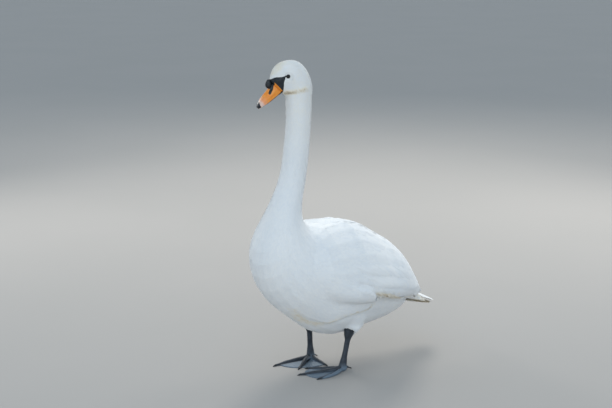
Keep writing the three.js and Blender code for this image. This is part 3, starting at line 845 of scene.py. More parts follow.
wing = on_wing(point)
wing_step, groove_step = smooth_step(wing, -3, 4), smooth_step(wing, -26, -16)
wing_rise = WING_RISE * (wing_step - (groove_step - wing_step)) * (apron < 0)
wing_rise *= (1 - smooth_step(wing, 10, 60)) * smooth_step(y, 20, 60)

jaw, along = jaw_height(places), in_head(places)[:, 0]
cheek = smooth_step(jaw, -2, 2.5) * (1 - smooth_step(jaw, 5, 20)) * (z > 840)
cheek *= (1 - smooth_step(along, 28, 38)) * smooth_step(along, -32, -10)
head_rise = JAW_RISE * cheek + BARE_RISE * smooth_step(bare_depth(places), -1, 1)
places += normals * ((apron_rise + wing_rise + head_rise - depth) * MM)[:, None]
print("apron stands", apron_rise.max().round(1), "mm high, and the wing's edge", wing_rise.max().round(1))

# %% [markdown]
# A swan's feathered thigh ends in a slope behind the ankle, not in a round lump, and its feathers part in
# front of the ankle. So what stands past a sloping plane is cut back to it, and the skin in front of each
# ankle is pushed away. The tail's flesh is made slimmer than its fan of feathers.

# %% Thighs, ankles and tail
THIGH_SLOPE, THIGH_LIMIT = unit(np.array([0.6515, 0.3823, -0.6552])), -4.5
THIGH_SHIFTS = {1: (0, 0, 0), -1: (6, 54, -1)}  # the right leg stands further forward
ANKLE_OPENING, ANKLE_OUTER = 13.0, np.array([0.7, -0.6, 0.4])
TAIL_FROM_Y, TAIL_BELOW_Z, TAIL_NARROWER, TAIL_SHORTER = 340, 215, 0.2, 0.25

point = on_bird(places)
for side, shift in THIGH_SHIFTS.items():
    local = point * (side, 1, 1) + np.array(shift)
    excess = np.clip(local @ THIGH_SLOPE - THIGH_LIMIT, 0, None) * (local[:, 0] > 15)
    excess *= (1 - smooth_step(local[:, 1], 95, 135)) * (1 - smooth_step(local[:, 2], 135, 165))
    places -= excess[:, None] * (THIGH_SLOPE * (side, 1, 1)) * MM
point = on_bird(places)
for side, ankle in ANKLES.items():
    offset = point - ankle
    away = np.linalg.norm(offset, axis=1)
    ahead = smooth_step(offset @ unit(ANKLE_OUTER * (side, 1, 1)) / away, 0.0, 0.7)
    opened = ANKLE_OPENING * ahead * (1 - smooth_step(away, 20, 44))
    places += offset / away[:, None] * opened[:, None] * MM
point = on_bird(places)
tail_flesh = smooth_step(y, TAIL_FROM_Y, 400) * (z < TAIL_BELOW_Z) * MM
places[:, 0] -= TAIL_NARROWER * point[:, 0] * tail_flesh
places[:, 1] -= TAIL_SHORTER * (point[:, 1] - TAIL_FROM_Y) * tail_flesh
move_vertices(skin, places)


def behind_ankle(places):
    """Where the cut thigh is smoothed."""
    point = on_bird(places)
    return (np.abs(point[:, 0]) > 20) & (point[:, 2] < 165) & (np.abs(point[:, 1] - 55) < 95)


smooth_where(skin, behind_ankle, rounds=5)
print("lowest skin", on_bird(vertex_places(skin))[:, 2].min().round(1), "mm above the floor")

# %% [markdown]
# Round each eye the skin rises to a low rim that hugs the ball, and dips behind it, so that the ball sits
# in a socket. The eyes look out to the sides and a little ahead.

# %% Eye sockets
EYE_RADIUS = 6.0
EYE_OPENING = 4.2  # from the middle of the eye to the lids' edge
EYE_FORWARD, EYE_RAISED = 0.28, 0.06  # how far the eyes look ahead and up, as well as to the side
SOCKET_REACH, SOCKET_FLOOR, RIM_HEIGHT = 13, 3.0, 0.6
ahead_and_up = EYE_FORWARD * head_along + EYE_RAISED * head_up
eye_axes = {side: unit(side * head_left + ahead_and_up) for side in (1, -1)}


def dome(radius, sphere, widest):
    """The height of a sphere over its middle, level beyond the widest radius."""
    return np.sqrt(np.clip(sphere**2 - np.minimum(radius, widest) ** 2, 0, None))


places = vertex_places(skin)
for side, centre in eye_middles.items():
    offset = (places - centre) / MM
    out = offset @ eye_axes[side]
    level = offset - out[:, None] * eye_axes[side]
    radius = np.linalg.norm(level, axis=1)
    near = (radius < SOCKET_REACH) & (out > -3)
    rim = dome(radius, EYE_RADIUS + RIM_HEIGHT, 6.2) - 0.5 * np.clip(radius - 5.4, 0, None)
    under_ball = dome(radius, EYE_RADIUS, 5.5) - 0.7
    wanted = under_ball + (rim - under_ball) * smooth_step(radius, EYE_OPENING - 0.1, EYE_OPENING + 0.8)
    wanted = np.where(radius < 2.5, SOCKET_FLOOR, wanted)
    moved = (wanted - out) * (1 - smooth_step(radius, 6.4, 12.5))
    places[near] += (moved[:, None] * eye_axes[side] * MM)[near]
move_vertices(skin, places)
smooth_shade(skin)
print("eyes look", [round(float(v), 2) for v in eye_axes[1]])

# %% [markdown]
# ## The feathers
# Each feather is a thin closed vane: narrow where it leaves the skin, widest past its middle, rounded at its
# tip, a little roofed across, and tipped up along its length so that it lies over the next one, as roof
# tiles do. Hand-made cards would take for ever, so one function grows a whole region at once, as arrays. It
# scatters roots with an even spacing, lays each vane along the skin, and joins them into one mesh. For that
# the skin is first taken apart into triangles: fours first, then threes, then the larger faces as fans.

# %% The skin as triangles
rng = np.random.default_rng(7)

faces_of = {}
for face in skin.data.polygons:
    faces_of.setdefault(len(face.vertices), []).append(tuple(face.vertices))
triangles = []
for size in sorted(faces_of, key=lambda size: (size != 4, size)):
    fans = np.array(faces_of[size])
    triangles += [fans[:, [0, k, k + 1]] for k in range(1, size - 1)]
triangles = np.concatenate(triangles)
skin_places = vertex_places(skin)
skin_normals = vertex_normals(skin)
corners = skin_places[triangles]
areas = np.linalg.norm(np.cross(corners[:, 1] - corners[:, 0], corners[:, 2] - corners[:, 0]), axis=1) / 2
face_normals = unit(skin_normals[triangles].sum(1))
middles = corners.mean(1)
skin_tree = BVHTree.FromPolygons(skin_places.tolist(), triangles.tolist())
print("skin area", round(float(areas.sum()), 3), "square metres, in", len(triangles), "triangles")

# %% [markdown]
# Roots are thrown at random and one is kept only where no kept root is closer than the spacing there. That
# gives the even but unruly pattern of real plumage, without the rows that a grid would show.

# %% The scattering function
THROWS = 7  # tries for each root that could fit
NEIGHBOURS = [(i, j, k) for i in (-1, 0, 1) for j in (-1, 0, 1) for k in (-1, 0, 1)]


def scatter(chosen, spacing):
    """Triangle numbers and places of roots on chosen triangles, apart by a spacing given for each one."""
    index = np.flatnonzero(chosen)
    weight = areas[index] / (spacing[index] * MM) ** 2
    count = int(weight.sum() * THROWS)
    picks = index[rng.choice(len(index), count, p=weight / weight.sum())]
    a, b = rng.random((2, count))
    flip = a + b > 1
    a[flip], b[flip] = 1 - a[flip], 1 - b[flip]
    first, second, third = corners[picks].transpose(1, 0, 2)
    thrown = first + a[:, None] * (second - first) + b[:, None] * (third - first)
    gap = spacing[picks] * MM
    cells = np.floor(thrown / gap.max()).astype(int)
    kept, grid = [], {}
    for n, (cell, place, least) in enumerate(zip(cells.tolist(), thrown.tolist(), (gap**2).tolist())):
        if far_from_others(grid, cell, place, least):
            grid.setdefault(tuple(cell), []).append(place)
            kept.append(n)
    print(len(kept), "roots kept of", count, "thrown")
    return picks[kept], thrown[kept]


def far_from_others(grid, cell, place, least):
    """Whether no place in the cells round one is nearer than the square root of a number."""
    (cx, cy, cz), (x, y, z) = cell, place
    for i, j, k in NEIGHBOURS:
        for px, py, pz in grid.get((cx + i, cy + j, cz + k), ()):
            if (px - x) ** 2 + (py - y) ** 2 + (pz - z) ** 2 < least:
                return False
    return True


def onto_skin(places):
    """The nearest places on the skin, and the skin's smooth normals there."""
    found = [skin_tree.find_nearest(place) for place in places.tolist()]
    where = np.array([tuple(item[0]) for item in found])
    return where, face_normals[[item[2] for item in found]]


# %% [markdown]
# The markings are few, and some of them are painted light. Under the cheek the plumage is stained buff, with
# a painted shadow line where the cheek's feathers overhang the neck's. Along the apron's and the wing's free
# edges the buff and brown are partly soil and partly painted shade under those edges, and behind the apron's
# blunt end they are painted shade. Under the tail the buff is a painted glow of light through the feathers.
# The crown and neck are a little aged. One function of place gives stain and painted light together, and skin
# and feathers both carry it as an attribute, so that they always agree.

# %% Stain at a place
CHEEK_FADE_UP, CHEEK_FADE_DOWN = 7.5, 2.4  # millimetres from the line of the jaw
HEAD_BASE_Z, CROWN_BASE_Z = 835, 880


def bump_at(values, middle_value, reach):
    """A smooth bump of height 1, as wide as its reach."""
    return np.exp(-(((values - middle_value) / reach) ** 2))


def band(distance, width):
    """1 on a line and 0 a width away from it."""
    return 1 - smooth_step(np.abs(distance), 0, width)


def body_stains_and_painted_light(point):
    """Painted shade with some stain along the apron's lower edge and under the wing's edge, painted shade
    behind the apron's rear end, and a painted glow under the tail, added up.
    """
    x, y, z = np.abs(point[:, 0]), point[:, 1], point[:, 2]
    apron = apron_depth(point)
    wander = 5 * np.sin(y / 23) + 4 * np.sin(z / 17 + y / 41)
    # Along the apron's free lower edge: painted shadow under the edge, partly soil.
    edge = band(apron + 3 + wander * (y < 0), 13) * smooth_step(y, -215, -160) * (z < 240) * (x > 12)
    edge *= 0.62 - 0.35 * bump_at(y, -5, 32) - 0.25 * bump_at(y, -175, 35)
    # Behind the apron's blunt rear end: painted shade in the valley beside it.
    rear = band(apron + 4, 8) * (y > 20) * (z >= 199) * (1 - smooth_step(z, 225, 262))
    # Along the wing's lower edge: painted shadow under the edge, with some buff stain.
    wing = band(on_wing(point) + 3, 12) * smooth_step(y, 60, 85) * (1 - 0.6 * smooth_step(y, 200, 300))
    # Under the tail: painted glow of light shining through the feathers.
    tail_underside_glow = smooth_step(y, 300, 400) * smooth_step(205 - z - 0.35 * (y - 290), 0, 22)
    return 0.6 * edge + 0.35 * rear + 0.6 * wing + 0.55 * tail_underside_glow


def head_stains_and_painted_shade(places, z):
    """The stain and painted shadow line of the cheek's lower edge, and the stains of the gape and of the
    crown, added up.
    """
    along, _, up = in_head(places).T
    above = jaw_height(places)
    # Under the cheek: buff stain, with a painted shadow line along its sharper lower edge, where the cheek's
    # feathers overhang the neck's.
    cheek = bump_at(above, 0, np.where(above > 0, CHEEK_FADE_UP, CHEEK_FADE_DOWN)) * (z > HEAD_BASE_Z)
    cheek *= (1 - smooth_step(along, 34, 40)) * smooth_step(along, -32, -8)
    cheek *= 0.62 + 0.38 * smooth_step(along, 5, 25)
    gape = bump_at(along, 33, 8) * bump_at(up, -35, 5) * (z > HEAD_BASE_Z)
    crown = bump_at(along, 6, 30) * smooth_step(up, 22, 34) * (z > CROWN_BASE_Z)
    return 0.8 * cheek + 0.2 * gape + 0.17 * crown


def stain_and_painted_light_at(places):
    """How much stain and painted light the plumage has at some places: 0 is white and 1 the deepest buff."""
    point = on_bird(places)
    aged = 0.11 * smooth_step(point[:, 2], 520, 880)
    return np.clip(aged + body_stains_and_painted_light(point) + head_stains_and_painted_shade(places, point[:, 2]), 0, 1)


def give_attribute(piece, name, values):
    """Stores one number for each vertex."""
    made = piece.data.attributes.new(name, "FLOAT", "POINT")
    made.data.foreach_set("value", np.asarray(values, np.float32))


give_attribute(skin, "stain", stain_and_painted_light_at(skin_places))
give_attribute(skin, "tone", np.full(len(skin_places), 0.5))
print("mean stain of the skin", stain_and_painted_light_at(skin_places).mean().round(3))

# %% [markdown]
# A vane's corners stand in rings from its root to its tip. Every vane of a piece has the same rings, so their
# faces are counted once and repeated. Each gets its own map, from edge to edge and from root to tip, and a
# small patch on the baking map, at its root's place on the unrolled skin. Stain with painted light, and tone,
# come with it.

# %% The function that joins vanes into one mesh
PATCH = 0.003  # the size of a vane's patch on the baking map
MAP_MARGIN, MAP_SIZE = 0.01, 0.97
SEAM_SCALE = 150  # millimetres from the upper guide line to the lower, when the skin is unrolled
EDGE_ANGLE = 55  # degrees; a vane's sharper edges stay crisp
# With more rings than LONG_RINGS, each vertex has its own stain and painted light.
LONG_RINGS = 6  # with more rings than this, each vertex has its own stain


def vane_faces(rings, around):
    """The threes and the fours of corners that close one vane."""
    last = rings * around + 1
    tris = [(0, 1 + (k + 1) % around, 1 + k) for k in range(around)]
    tris += [(last, last - around + k, last - around + (k + 1) % around) for k in range(around)]
    quads = []
    for ring in range(rings - 1):
        for k in range(around):
            a, b = 1 + ring * around + k, 1 + ring * around + (k + 1) % around
            quads.append((a, b, b + around, a + around))
    return tris, quads


def join_vanes(name, vertices, at, roots, across, stain_and_painted_light_share=1.0):
    """The mesh, its two maps and its attributes, from the corners of every vane."""
    count, corners_each = vertices.shape[:2]
    around, rings, last = len(across), len(at) - 2, corners_each - 1
    tris, quads = vane_faces(rings, around)
    first = np.arange(count)[:, None] * corners_each
    loops = [(np.array(kind, int).ravel()[None] + first).ravel() for kind in (tris, quads)]
    loops = np.concatenate(loops).astype(np.int32)
    sizes = np.concatenate([np.full(count * len(tris), 3), np.full(count * len(quads), 4)])
    mesh = bpy.data.meshes.new(name)
    mesh.vertices.add(count * corners_each)
    mesh.vertices.foreach_set("co", vertices.ravel())
    mesh.loops.add(len(loops))
    mesh.loops.foreach_set("vertex_index", loops)
    mesh.polygons.add(len(sizes))
    mesh.polygons.foreach_set("loop_start", np.concatenate([[0], np.cumsum(sizes)[:-1]]).astype(np.int32))
    mesh.update(calc_edges=True)

    local = np.column_stack([np.concatenate([[0.5], np.tile(across, rings), [0.5]]),
                             np.concatenate([[at[0]], np.repeat(at[1:-1], around), [at[-1]]])])
    step, share, point = place_on_body(roots)
    angle = np.arctan2(point[:, 0], (0.5 - share) * SEAM_SCALE) / (2 * math.pi) + 0.5
    unrolled = np.column_stack([MAP_MARGIN + MAP_SIZE * step, MAP_MARGIN + MAP_SIZE * angle])
    own = np.tile(local, (count, 1))
    spread = np.repeat(unrolled, corners_each, axis=0) + PATCH * (own - 0.5)
    for label, values in (("OFBake", spread), ("vane", own)):
        layer = mesh.uv_layers.new(name=label)
        layer.uv.foreach_set("vector", values[loops].astype(np.float32).ravel())
    piece = bpy.data.objects.new(name, mesh)
    bpy.context.scene.collection.objects.link(piece)

    if rings > LONG_RINGS:
        stains_and_painted_light = stain_and_painted_light_at(vertices.reshape(-1, 3)).reshape(count, -1)
    else:
        near, far = stain_and_painted_light_at(vertices[:, 0]), stain_and_painted_light_at(vertices[:, last])
        stains_and_painted_light = near[:, None] + (far - near)[:, None] * local[None, :, 1]
    stains_and_painted_light *= stain_and_painted_light_share * rng.uniform(0.55, 1.15, count)[:, None]
    give_attribute(piece, "stain", np.clip(stains_and_painted_light, 0, 1).ravel())
    give_attribute(piece, "tone", np.repeat(rng.random(count), corners_each))
    smooth_shade(piece, EDGE_ANGLE)
    print(name, count, "vanes", count * (len(tris) + 2 * len(quads)), "triangles")
    return piece


# %% [markdown]
# A small feather has a root, some rings of four corners, and a tip. The left and right corners are its edges,
# and the other two its upper and lower middle. Its lengthwise steps are carried onto the skin one by one, so
# a longer feather bends with the body.

# %% The function that grows a region of small feathers
ACROSS = [0.0, 0.5, 1.0, 0.5]  # where a ring's four corners lie, from edge to edge
RING_PLACES = {2: (0.25, 0.78), 3: (0.2, 0.6, 0.9), 4: (0.18, 0.5, 0.8, 0.94)}
# Shares of the length, and the width there as a share of the widest.
BROAD = ([0, 0.16, 0.45, 0.7, 0.86, 0.95], [0.35, 0.6, 0.95, 1, 0.74, 0.45])
SLIM = ([0, 0.16, 0.45, 0.7, 0.86, 0.95], [0.4, 0.75, 1, 0.78, 0.46, 0.25])
ROOFED = 0.14  # how far a vane's edges lie below its middle, as a share of half its width
VANE_THICK = 0.25  # millimetres
CURL = 0.05  # how unevenly the vanes bend to a side


def spread_out(values, count):
    """A number for each of some feathers, from one for each or one for all."""
    return np.broadcast_to(np.asarray(values, float), count)


def grow(name, picks, roots, length, width, rise, rings=3, turn=0.12, conform=True, shape=BROAD, ground=0.15,
         ruffle=0.15):
    """One mesh of vanes. Sizes are in millimetres, one for each root or one for all."""
    count = len(roots)
    length, width, rise = (spread_out(values, count) * MM for values in (length, width, rise))
    length = length * rng.uniform(0.8, 1.2, count)
    width = width * rng.uniform(0.85, 1.15, count)
    normals = face_normals[picks]
    way = feather_lie(roots, normals)
    swing = rng.normal(0, turn, count)[:, None]
    way = unit(way * np.cos(swing) + np.cross(normals, way) * np.sin(swing))
    lift = rise * (1 + rng.normal(0, ruffle, count))
    at = np.array([0, *RING_PLACES[rings], 1])
    profile = np.interp(at[1:-1], *shape)
    bend = rng.normal(0, CURL, count)[:, None]
    vertices = np.empty((count, rings * len(ACROSS) + 2, 3))
    place, normal, direction = roots.copy(), normals, way
    side = np.cross(normal, direction)
    vertices[:, 0] = roots + normals * ground * MM
    for ring, (previous, share) in enumerate(zip(at, at[1:])):
        place = place + direction * (length * (share - previous))[:, None]
        place = place + side * bend * (length * share)[:, None] * 0.3
        if conform:
            place, normal = onto_skin(place)
            direction = along_skin(direction, normal)
            side = np.cross(normal, direction)
        height = ground * MM + lift * share
        spine = place + normal * height[:, None]
        if ring == rings:
            vertices[:, -1] = spine
            continue
        half = (width * profile[ring] / 2)[:, None]
        drop = half * ROOFED
        left, top, right, under = range(1 + ring * 4, 5 + ring * 4)
        for corner, sense in ((left, -1), (right, 1)):
            vertices[:, corner] = place + side * half * sense + normal * (height[:, None] - drop)
        vertices[:, top] = spine
        vertices[:, under] = spine - normal * np.minimum(VANE_THICK * MM, drop * 0.8 + 0.05 * MM)
    return join_vanes(name, vertices, at, roots, ACROSS)


print("a small vane has", [len(kind) for kind in vane_faces(3, len(ACROSS))], "threes and fours")

# %% [markdown]
# A long feather is made the same way from more rings of eight corners. Two of them stand close beside a
# raised one, the shaft. Its edges are cut by small random nicks, as real vanes are where their barbs part,
# and one edge lies lower than the other, so that neighbours in a row tuck under each other.

# %% The function that lays a row of long feathers
LONG_ACROSS = [0.0, 0.25, 0.47, 0.5, 0.53, 0.75, 1.0, 0.5]
ROUNDED = ([0, 0.08, 0.3, 0.7, 0.86, 0.94, 0.985], [0.16, 0.42, 0.85, 1, 0.88, 0.62, 0.3])
POINTED = ([0, 0.08, 0.3, 0.6, 0.8, 0.92, 0.985], [0.2, 0.5, 0.9, 1, 0.78, 0.45, 0.16])
FIRST_RING, LAST_RING = 0.06, 0.985  # shares of the length
DEEP_NICK, SHALLOW_NICK, UNNICKED = 0.10, 0.03, 0.82
SHAFT_WIDE, SHAFT_HIGH, LONG_THICK = 0.9, 0.45, 0.35  # millimetres; the width is half the shaft's


def lay_long(name, roots, ways, normals, length, width, low, high, tilt=0.0, free=1.0, shape=ROUNDED,
             rings=13, stain_and_painted_light_share=1.0, camber=0.09):
    """One mesh of long feathers. They follow the skin up to a share of their length, and then go straight."""
    count = len(roots)
    length, width = (spread_out(values, count) * MM for values in (length, width))
    low, high, tilt = (spread_out(values, count)[:, None] for values in (low, high, tilt))
    at = np.concatenate([[0], np.linspace(FIRST_RING, LAST_RING, rings), [1]])
    profile = np.interp(at[1:-1], *shape)
    vertices = np.empty((count, rings * len(LONG_ACROSS) + 2, 3))
    place, normal = roots.copy(), normals.copy()
    if free > 0:
        direction = along_skin(ways, normal)
    else:
        direction = unit(ways)
        normal = along_skin(normal, direction)
    vertices[:, 0] = roots + normals * low * MM
    for ring, (previous, share) in enumerate(zip(at, at[1:])):
        place = place + direction * (length * (share - previous))[:, None]
        if share <= free:
            place, found = onto_skin(place)
            normal = unit(normal + found)
            direction = along_skin(direction, normal)
        side = np.cross(normal, direction)
        height = (low + (high - low) * share) * MM
        spine = place + normal * height
        if ring == rings:
            vertices[:, -1] = spine
            continue
        half = (width * profile[ring] / 2)[:, None]
        drop = half * camber
        start = 1 + ring * len(LONG_ACROSS)
        for sense, edge, inner, foot in ((-1, 0, 1, 2), (1, 6, 5, 4)):
            nick = 1 - DEEP_NICK * (rng.random(count) > UNNICKED) - SHALLOW_NICK * rng.random(count)
            lean = tilt * half * sense
            beside = side * half * sense
            close = side * np.minimum(half * 0.3, SHAFT_WIDE * MM) * sense
            vertices[:, start + edge] = place + beside * nick[:, None] + normal * (height - drop + lean)
            vertices[:, start + inner] = place + beside * 0.5 + normal * (height - 0.25 * drop + 0.5 * lean)
            vertices[:, start + foot] = place + close + normal * height
        vertices[:, start + 3] = spine + normal * SHAFT_HIGH * MM * (1 - share)
        vertices[:, start + 7] = spine - normal * (LONG_THICK * MM + 0.5 * drop)
    return join_vanes(name, vertices, at, roots, LONG_ACROSS, stain_and_painted_light_share)


print("a long vane has", [len(kind) for kind in vane_faces(13, len(LONG_ACROSS))], "threes and fours")

# %% [markdown]
# ## The coat, region by region
# Every triangle of the skin is first given to one region, by its place: head, neck, the wings with the back,
# or the underside. None is given to the bare face, the eyes or the tail, and the long feathers cover a strip
# of each wing.

# %% Regions of the skin
point = on_bird(middles)
steps, shares, _ = place_on_body(middles)
x, y, z = point.T
along = in_head(middles)[:, 0]
above_edge = on_wing(point)
is_head = (z > 846) & (steps < 0.34)
is_neck = ~is_head & (steps < 0.42) & (z > 480)
is_body = ~is_head & ~is_neck
face_covered = (bare_depth(middles) < 0.1) & (along < 41)
face_covered &= least_gap(middles, eye_middles.values()) / MM > 6.8
under_rows = (above_edge > -1) & (above_edge < 62) & (y > 66) & (y < 325)
under_rows &= np.abs(face_normals[:, 0]) > 0.45
on_tail = (y > 345) & (z < 196)
is_wing = (above_edge > -1) & (y > 20) & is_body
is_back = ~is_wing & is_body & (shares < 0.45) & (y > -110) & (z > 330)
is_upper = (is_wing & ~under_rows & ~on_tail) | is_back
is_under = ~is_wing & ~is_back & is_body & ~on_tail
print("triangles of head, neck, upper side and underside:",
      [int(region.sum()) for region in (is_head, is_neck, is_upper, is_under)])

# %% [markdown]
# Face feathers are as small as grains of rice and lie like velvet, smallest of all round the eye and the bare
# patch. They lengthen down the neck.

# %% Head and neck
spacing = 1.0 + 0.5 * smooth_step(-along, -26, 26)
picks, roots = scatter(is_head & face_covered, spacing)
back = smooth_step(-in_head(roots)[:, 0], -38, 30)
small = smooth_step(least_gap(roots, eye_middles.values()) / MM, 5, 17)
small = 0.42 + 0.58 * small * smooth_step(-bare_depth(roots), -1, 7)
coats = [grow("feathers_head", picks, roots, (4.4 + 4.6 * back) * small, (1.5 + 1.0 * back) * small**0.5,
              (0.5 + 0.4 * back) * small, rings=2, conform=False, shape=SLIM, turn=0.17, ground=0.05)]

spacing = 1.95 + 0.75 * (1 - smooth_step(z, 560, 850))
picks, roots = scatter(is_neck, spacing)
height = on_bird(roots)[:, 2]
lower = 1 - smooth_step(height, 540, 850)
for label, rows in (("upper", height > 660), ("lower", height <= 660)):
    low = lower[rows]
    coats.append(grow(f"feathers_neck_{label}", picks[rows], roots[rows], 10 + 5 * low, 3.0 + 2.2 * low,
                      0.62 + 0.4 * low, rings=2, turn=0.17, conform=False, shape=SLIM, ruffle=0.2))

# %% [markdown]
# On the breast, flanks and belly they are true contour feathers. Round the ankles they are short, so that the
# bare leg shows. Those of the back and the wings' small coverts are the largest and broadest.

# %% Breast, flanks, belly, back and small coverts
spacing = 3.3 + 1.0 * smooth_step(steps, 0.45, 0.7)
picks, roots = scatter(is_under, spacing)
root_steps, _, _ = place_on_body(roots)
rear = on_bird(roots)[:, 1]
later = smooth_step(root_steps, 0.42, 0.68)
short = 0.28 + 0.72 * smooth_step(least_gap(on_bird(roots), ANKLES.values()), 24, 62)
order = {"breast": rear < -90, "side": (rear >= -90) & (rear < 90), "rear": rear >= 90}
for label, rows in order.items():
    coats.append(grow(f"feathers_{label}", picks[rows], roots[rows], (16 + 10 * later[rows]) * short[rows],
                      6 + 4.5 * later[rows], 1.25 + 0.6 * later[rows], rings=3, turn=0.15, ruffle=0.18))

spacing = 5 + 4 * smooth_step(y, -60, 150)
picks, roots = scatter(is_upper, spacing)
later = smooth_step(on_bird(roots)[:, 1], -90, 180)
left_side = on_bird(roots)[:, 0] > 0
for label, rows in (("left", left_side), ("right", ~left_side)):
    coats.append(grow(f"feathers_wing_{label}", picks[rows], roots[rows], 22 + 24 * later[rows],
                      11 + 9 * later[rows], 1.5 + 0.6 * later[rows], rings=4, turn=0.09, ruffle=0.1))

# %% [markdown]
# The folded wing is built in rows, from the inside out: the secondaries, whose tips make its lower edge, the
# long tertials over its point, then greater and median coverts. Each row is given by its first, middle and
# last feather, as seen from the side. A ray from outside finds each root on the skin.

# %% Rows of the folded wing
# For each row: how many, their roots (y, z), their tips (y, z), the first and last one's width, the heights
# at the root and the tip, and the share of the length that follows the skin.
WING_ROWS = {
    "secondary": (13, [(50, 292), (125, 266), (225, 226)], [(104, 252), (220, 206), (335, 182)],
                  (25, 33), 0.5, 2.2, 0.95),
    "tertial": (7, [(120, 322), (180, 300), (240, 262)], [(262, 240), (322, 218), (372, 188)],
                (42, 36), 0.9, 1.9, 0.97),
    "greater": (11, [(22, 326), (105, 316), (205, 284)], [(112, 284), (190, 262), (290, 228)],
                (27, 31), 1.5, 3.2, 1),
    "median": (12, [(0, 356), (80, 346), (185, 316)], [(62, 322), (138, 306), (236, 268)],
               (22, 26), 1.9, 3.4, 1),
}
LENGTHENED = 1.05
UNEVEN_ROOT, UNEVEN_WAY = 1.5, 1.2  # millimetres
ROOFED_LONG = 0.16


def skin_hit(start, way):
    """The skin's place and normal where a ray from a place of the bird meets it, if it does."""
    hit = skin_tree.ray_cast(Vector(in_frame(start)), Vector(way))
    return (None, None) if hit[0] is None else (np.array(hit[0]), face_normals[hit[2]])


def along_knots(knots, count):
    """Evenly spread places on the line through three knots."""
    share = np.linspace(0, 2, count)
    return np.column_stack([np.interp(share, [0, 1, 2], np.array(knots, float)[:, k]) for k in (0, 1)])


def columns(rows):
    """One array for each column of some rows."""
    return (np.array(column) for column in zip(*rows))


for side, label in ((1, "left"), (-1, "right")):
    for kind, (count, starts, ends, widths, low, high, free) in WING_ROWS.items():
        rows = []
        for (y0, z0), (y1, z1) in zip(along_knots(starts, count), along_knots(ends, count)):
            root, normal = skin_hit((side * 400, y0 + rng.normal(0, UNEVEN_ROOT), z0), (-side, 0, 0))
            if root is not None:
                rows.append((root, normal, (0, y1 - y0, z1 - z0), math.hypot(y1 - y0, z1 - z0)))
        roots, normals, ways, lengths = columns(rows)
        ways = unit(ways + rng.normal(0, UNEVEN_WAY, ways.shape))
        lengths = lengths * LENGTHENED * rng.uniform(0.97, 1.03, len(rows))
        width = np.linspace(*widths, len(rows)) * rng.uniform(0.95, 1.05, len(rows))
        coats.append(lay_long(f"feathers_{kind}_{label}", roots, ways, normals, lengths, width, low, high,
                              tilt=0.06 * side, free=free, camber=ROOFED_LONG))

# %% [markdown]
# Between the wings the shoulder feathers, or scapulars, cover the back. They are broad and loose, so they are
# laid one by one from the rump forwards, each on the place that a ray from above finds.

# %% Scapulars between the wings
SCAPULAR_Y, SCAPULAR_STEP, SCAPULAR_X, SCAPULAR_WIDE = (250, -6), -5.0, 13, 24
ABOVE = 700  # millimetres: a height over the back
DOWN = (0, 0, -1)

rows = []
for y0 in np.arange(*SCAPULAR_Y, SCAPULAR_STEP):
    x0 = rng.uniform(-SCAPULAR_X, SCAPULAR_X)
    root, normal = skin_hit((x0, y0, ABOVE), DOWN)
    way = (0.10 * x0 / SCAPULAR_X + rng.normal(0, 0.04), 1, 0)
    rows.append((root, normal, way, 46 + 22 * smooth_step(y0, 0, 160)))
roots, normals, ways, lengths = columns(rows)
coats.append(lay_long("feathers_scapular", roots, ways, normals, lengths, SCAPULAR_WIDE, 0.5, 1.9,
                      rings=9, camber=ROOFED_LONG))

# %% [markdown]
# The tail is a short fan of pointed feathers over its wedge of flesh, the middle ones longest and uppermost.
# A second layer of them lies on the wedge's underside. Softer coverts hide where both leave the rump.

# %% The tail's fan
# Heights (y, then z) of the fan's upper and lower face, in the bird's millimetres.
TAIL_TOP = ([300, 345, 360, 400, 430, 445, 457], [206, 188, 180, 158, 141, 127, 115])
TAIL_UNDER = ([300, 345, 360, 400, 430, 445, 457], [140, 150, 149, 139, 128, 119, 110])
TAIL_ROOT_Y = 300  # where the fan's rays meet
TAIL_SIDES = 8  # feathers each side of the middle one
OUTER_SHORTER = 44
COVERT_X, COVERT_Y, COVERT_TRIES = (-34, 34), (334, 356), 90
COVERT_FANNED, COVERT_REACH = 0.35, 44  # how far coverts turn outwards, this far from the middle
COVERT_HIGHEST = 222  # millimetres: above this is wing


def tail_layer(name, heights, up, reach, spread, start, width, stain_and_painted_light_share):
    """One layer of the fan: pointed feathers from a start line, each towards its own end."""
    rows = []
    for n in sorted(range(-TAIL_SIDES, TAIL_SIDES + 1), key=abs, reverse=True):
        share = n / TAIL_SIDES
        angle = math.radians(spread * share)
        ray = np.array([math.sin(angle), math.cos(angle)])
        ends = []
        for distance in (start, reach - OUTER_SHORTER * abs(share) ** 1.3):
            x, y = np.array([0, TAIL_ROOT_Y]) + ray * distance
            ends.append(np.array([x, y, np.interp(y, *heights) - up * 0.003 * x * x]))
        way = ends[1] - ends[0]
        normal = unit(np.array([0.25 * share * up, 0.42 * up, up]))
        rows.append((in_frame(ends[0]), way, normal, np.linalg.norm(way), 1 - abs(share)))
    roots, ways, normals, lengths, rank = columns(rows)
    lengths = lengths * rng.uniform(0.97, 1.02, len(rows))
    low = 0.2 + 2.4 * rank
    return lay_long(name, roots, ways, normals, lengths, width, low, low + 0.8, free=0.0, shape=POINTED,
                    stain_and_painted_light_share=stain_and_painted_light_share)


# The upper layer takes a small share of stain and painted glow, the lower layer all of it.
coats.append(tail_layer("feathers_tail_top", TAIL_TOP, 1, 156, 27, 30, 32, 0.15))
coats.append(tail_layer("feathers_tail_under", TAIL_UNDER, -1, 148, 24, 36, 27, 1.0))

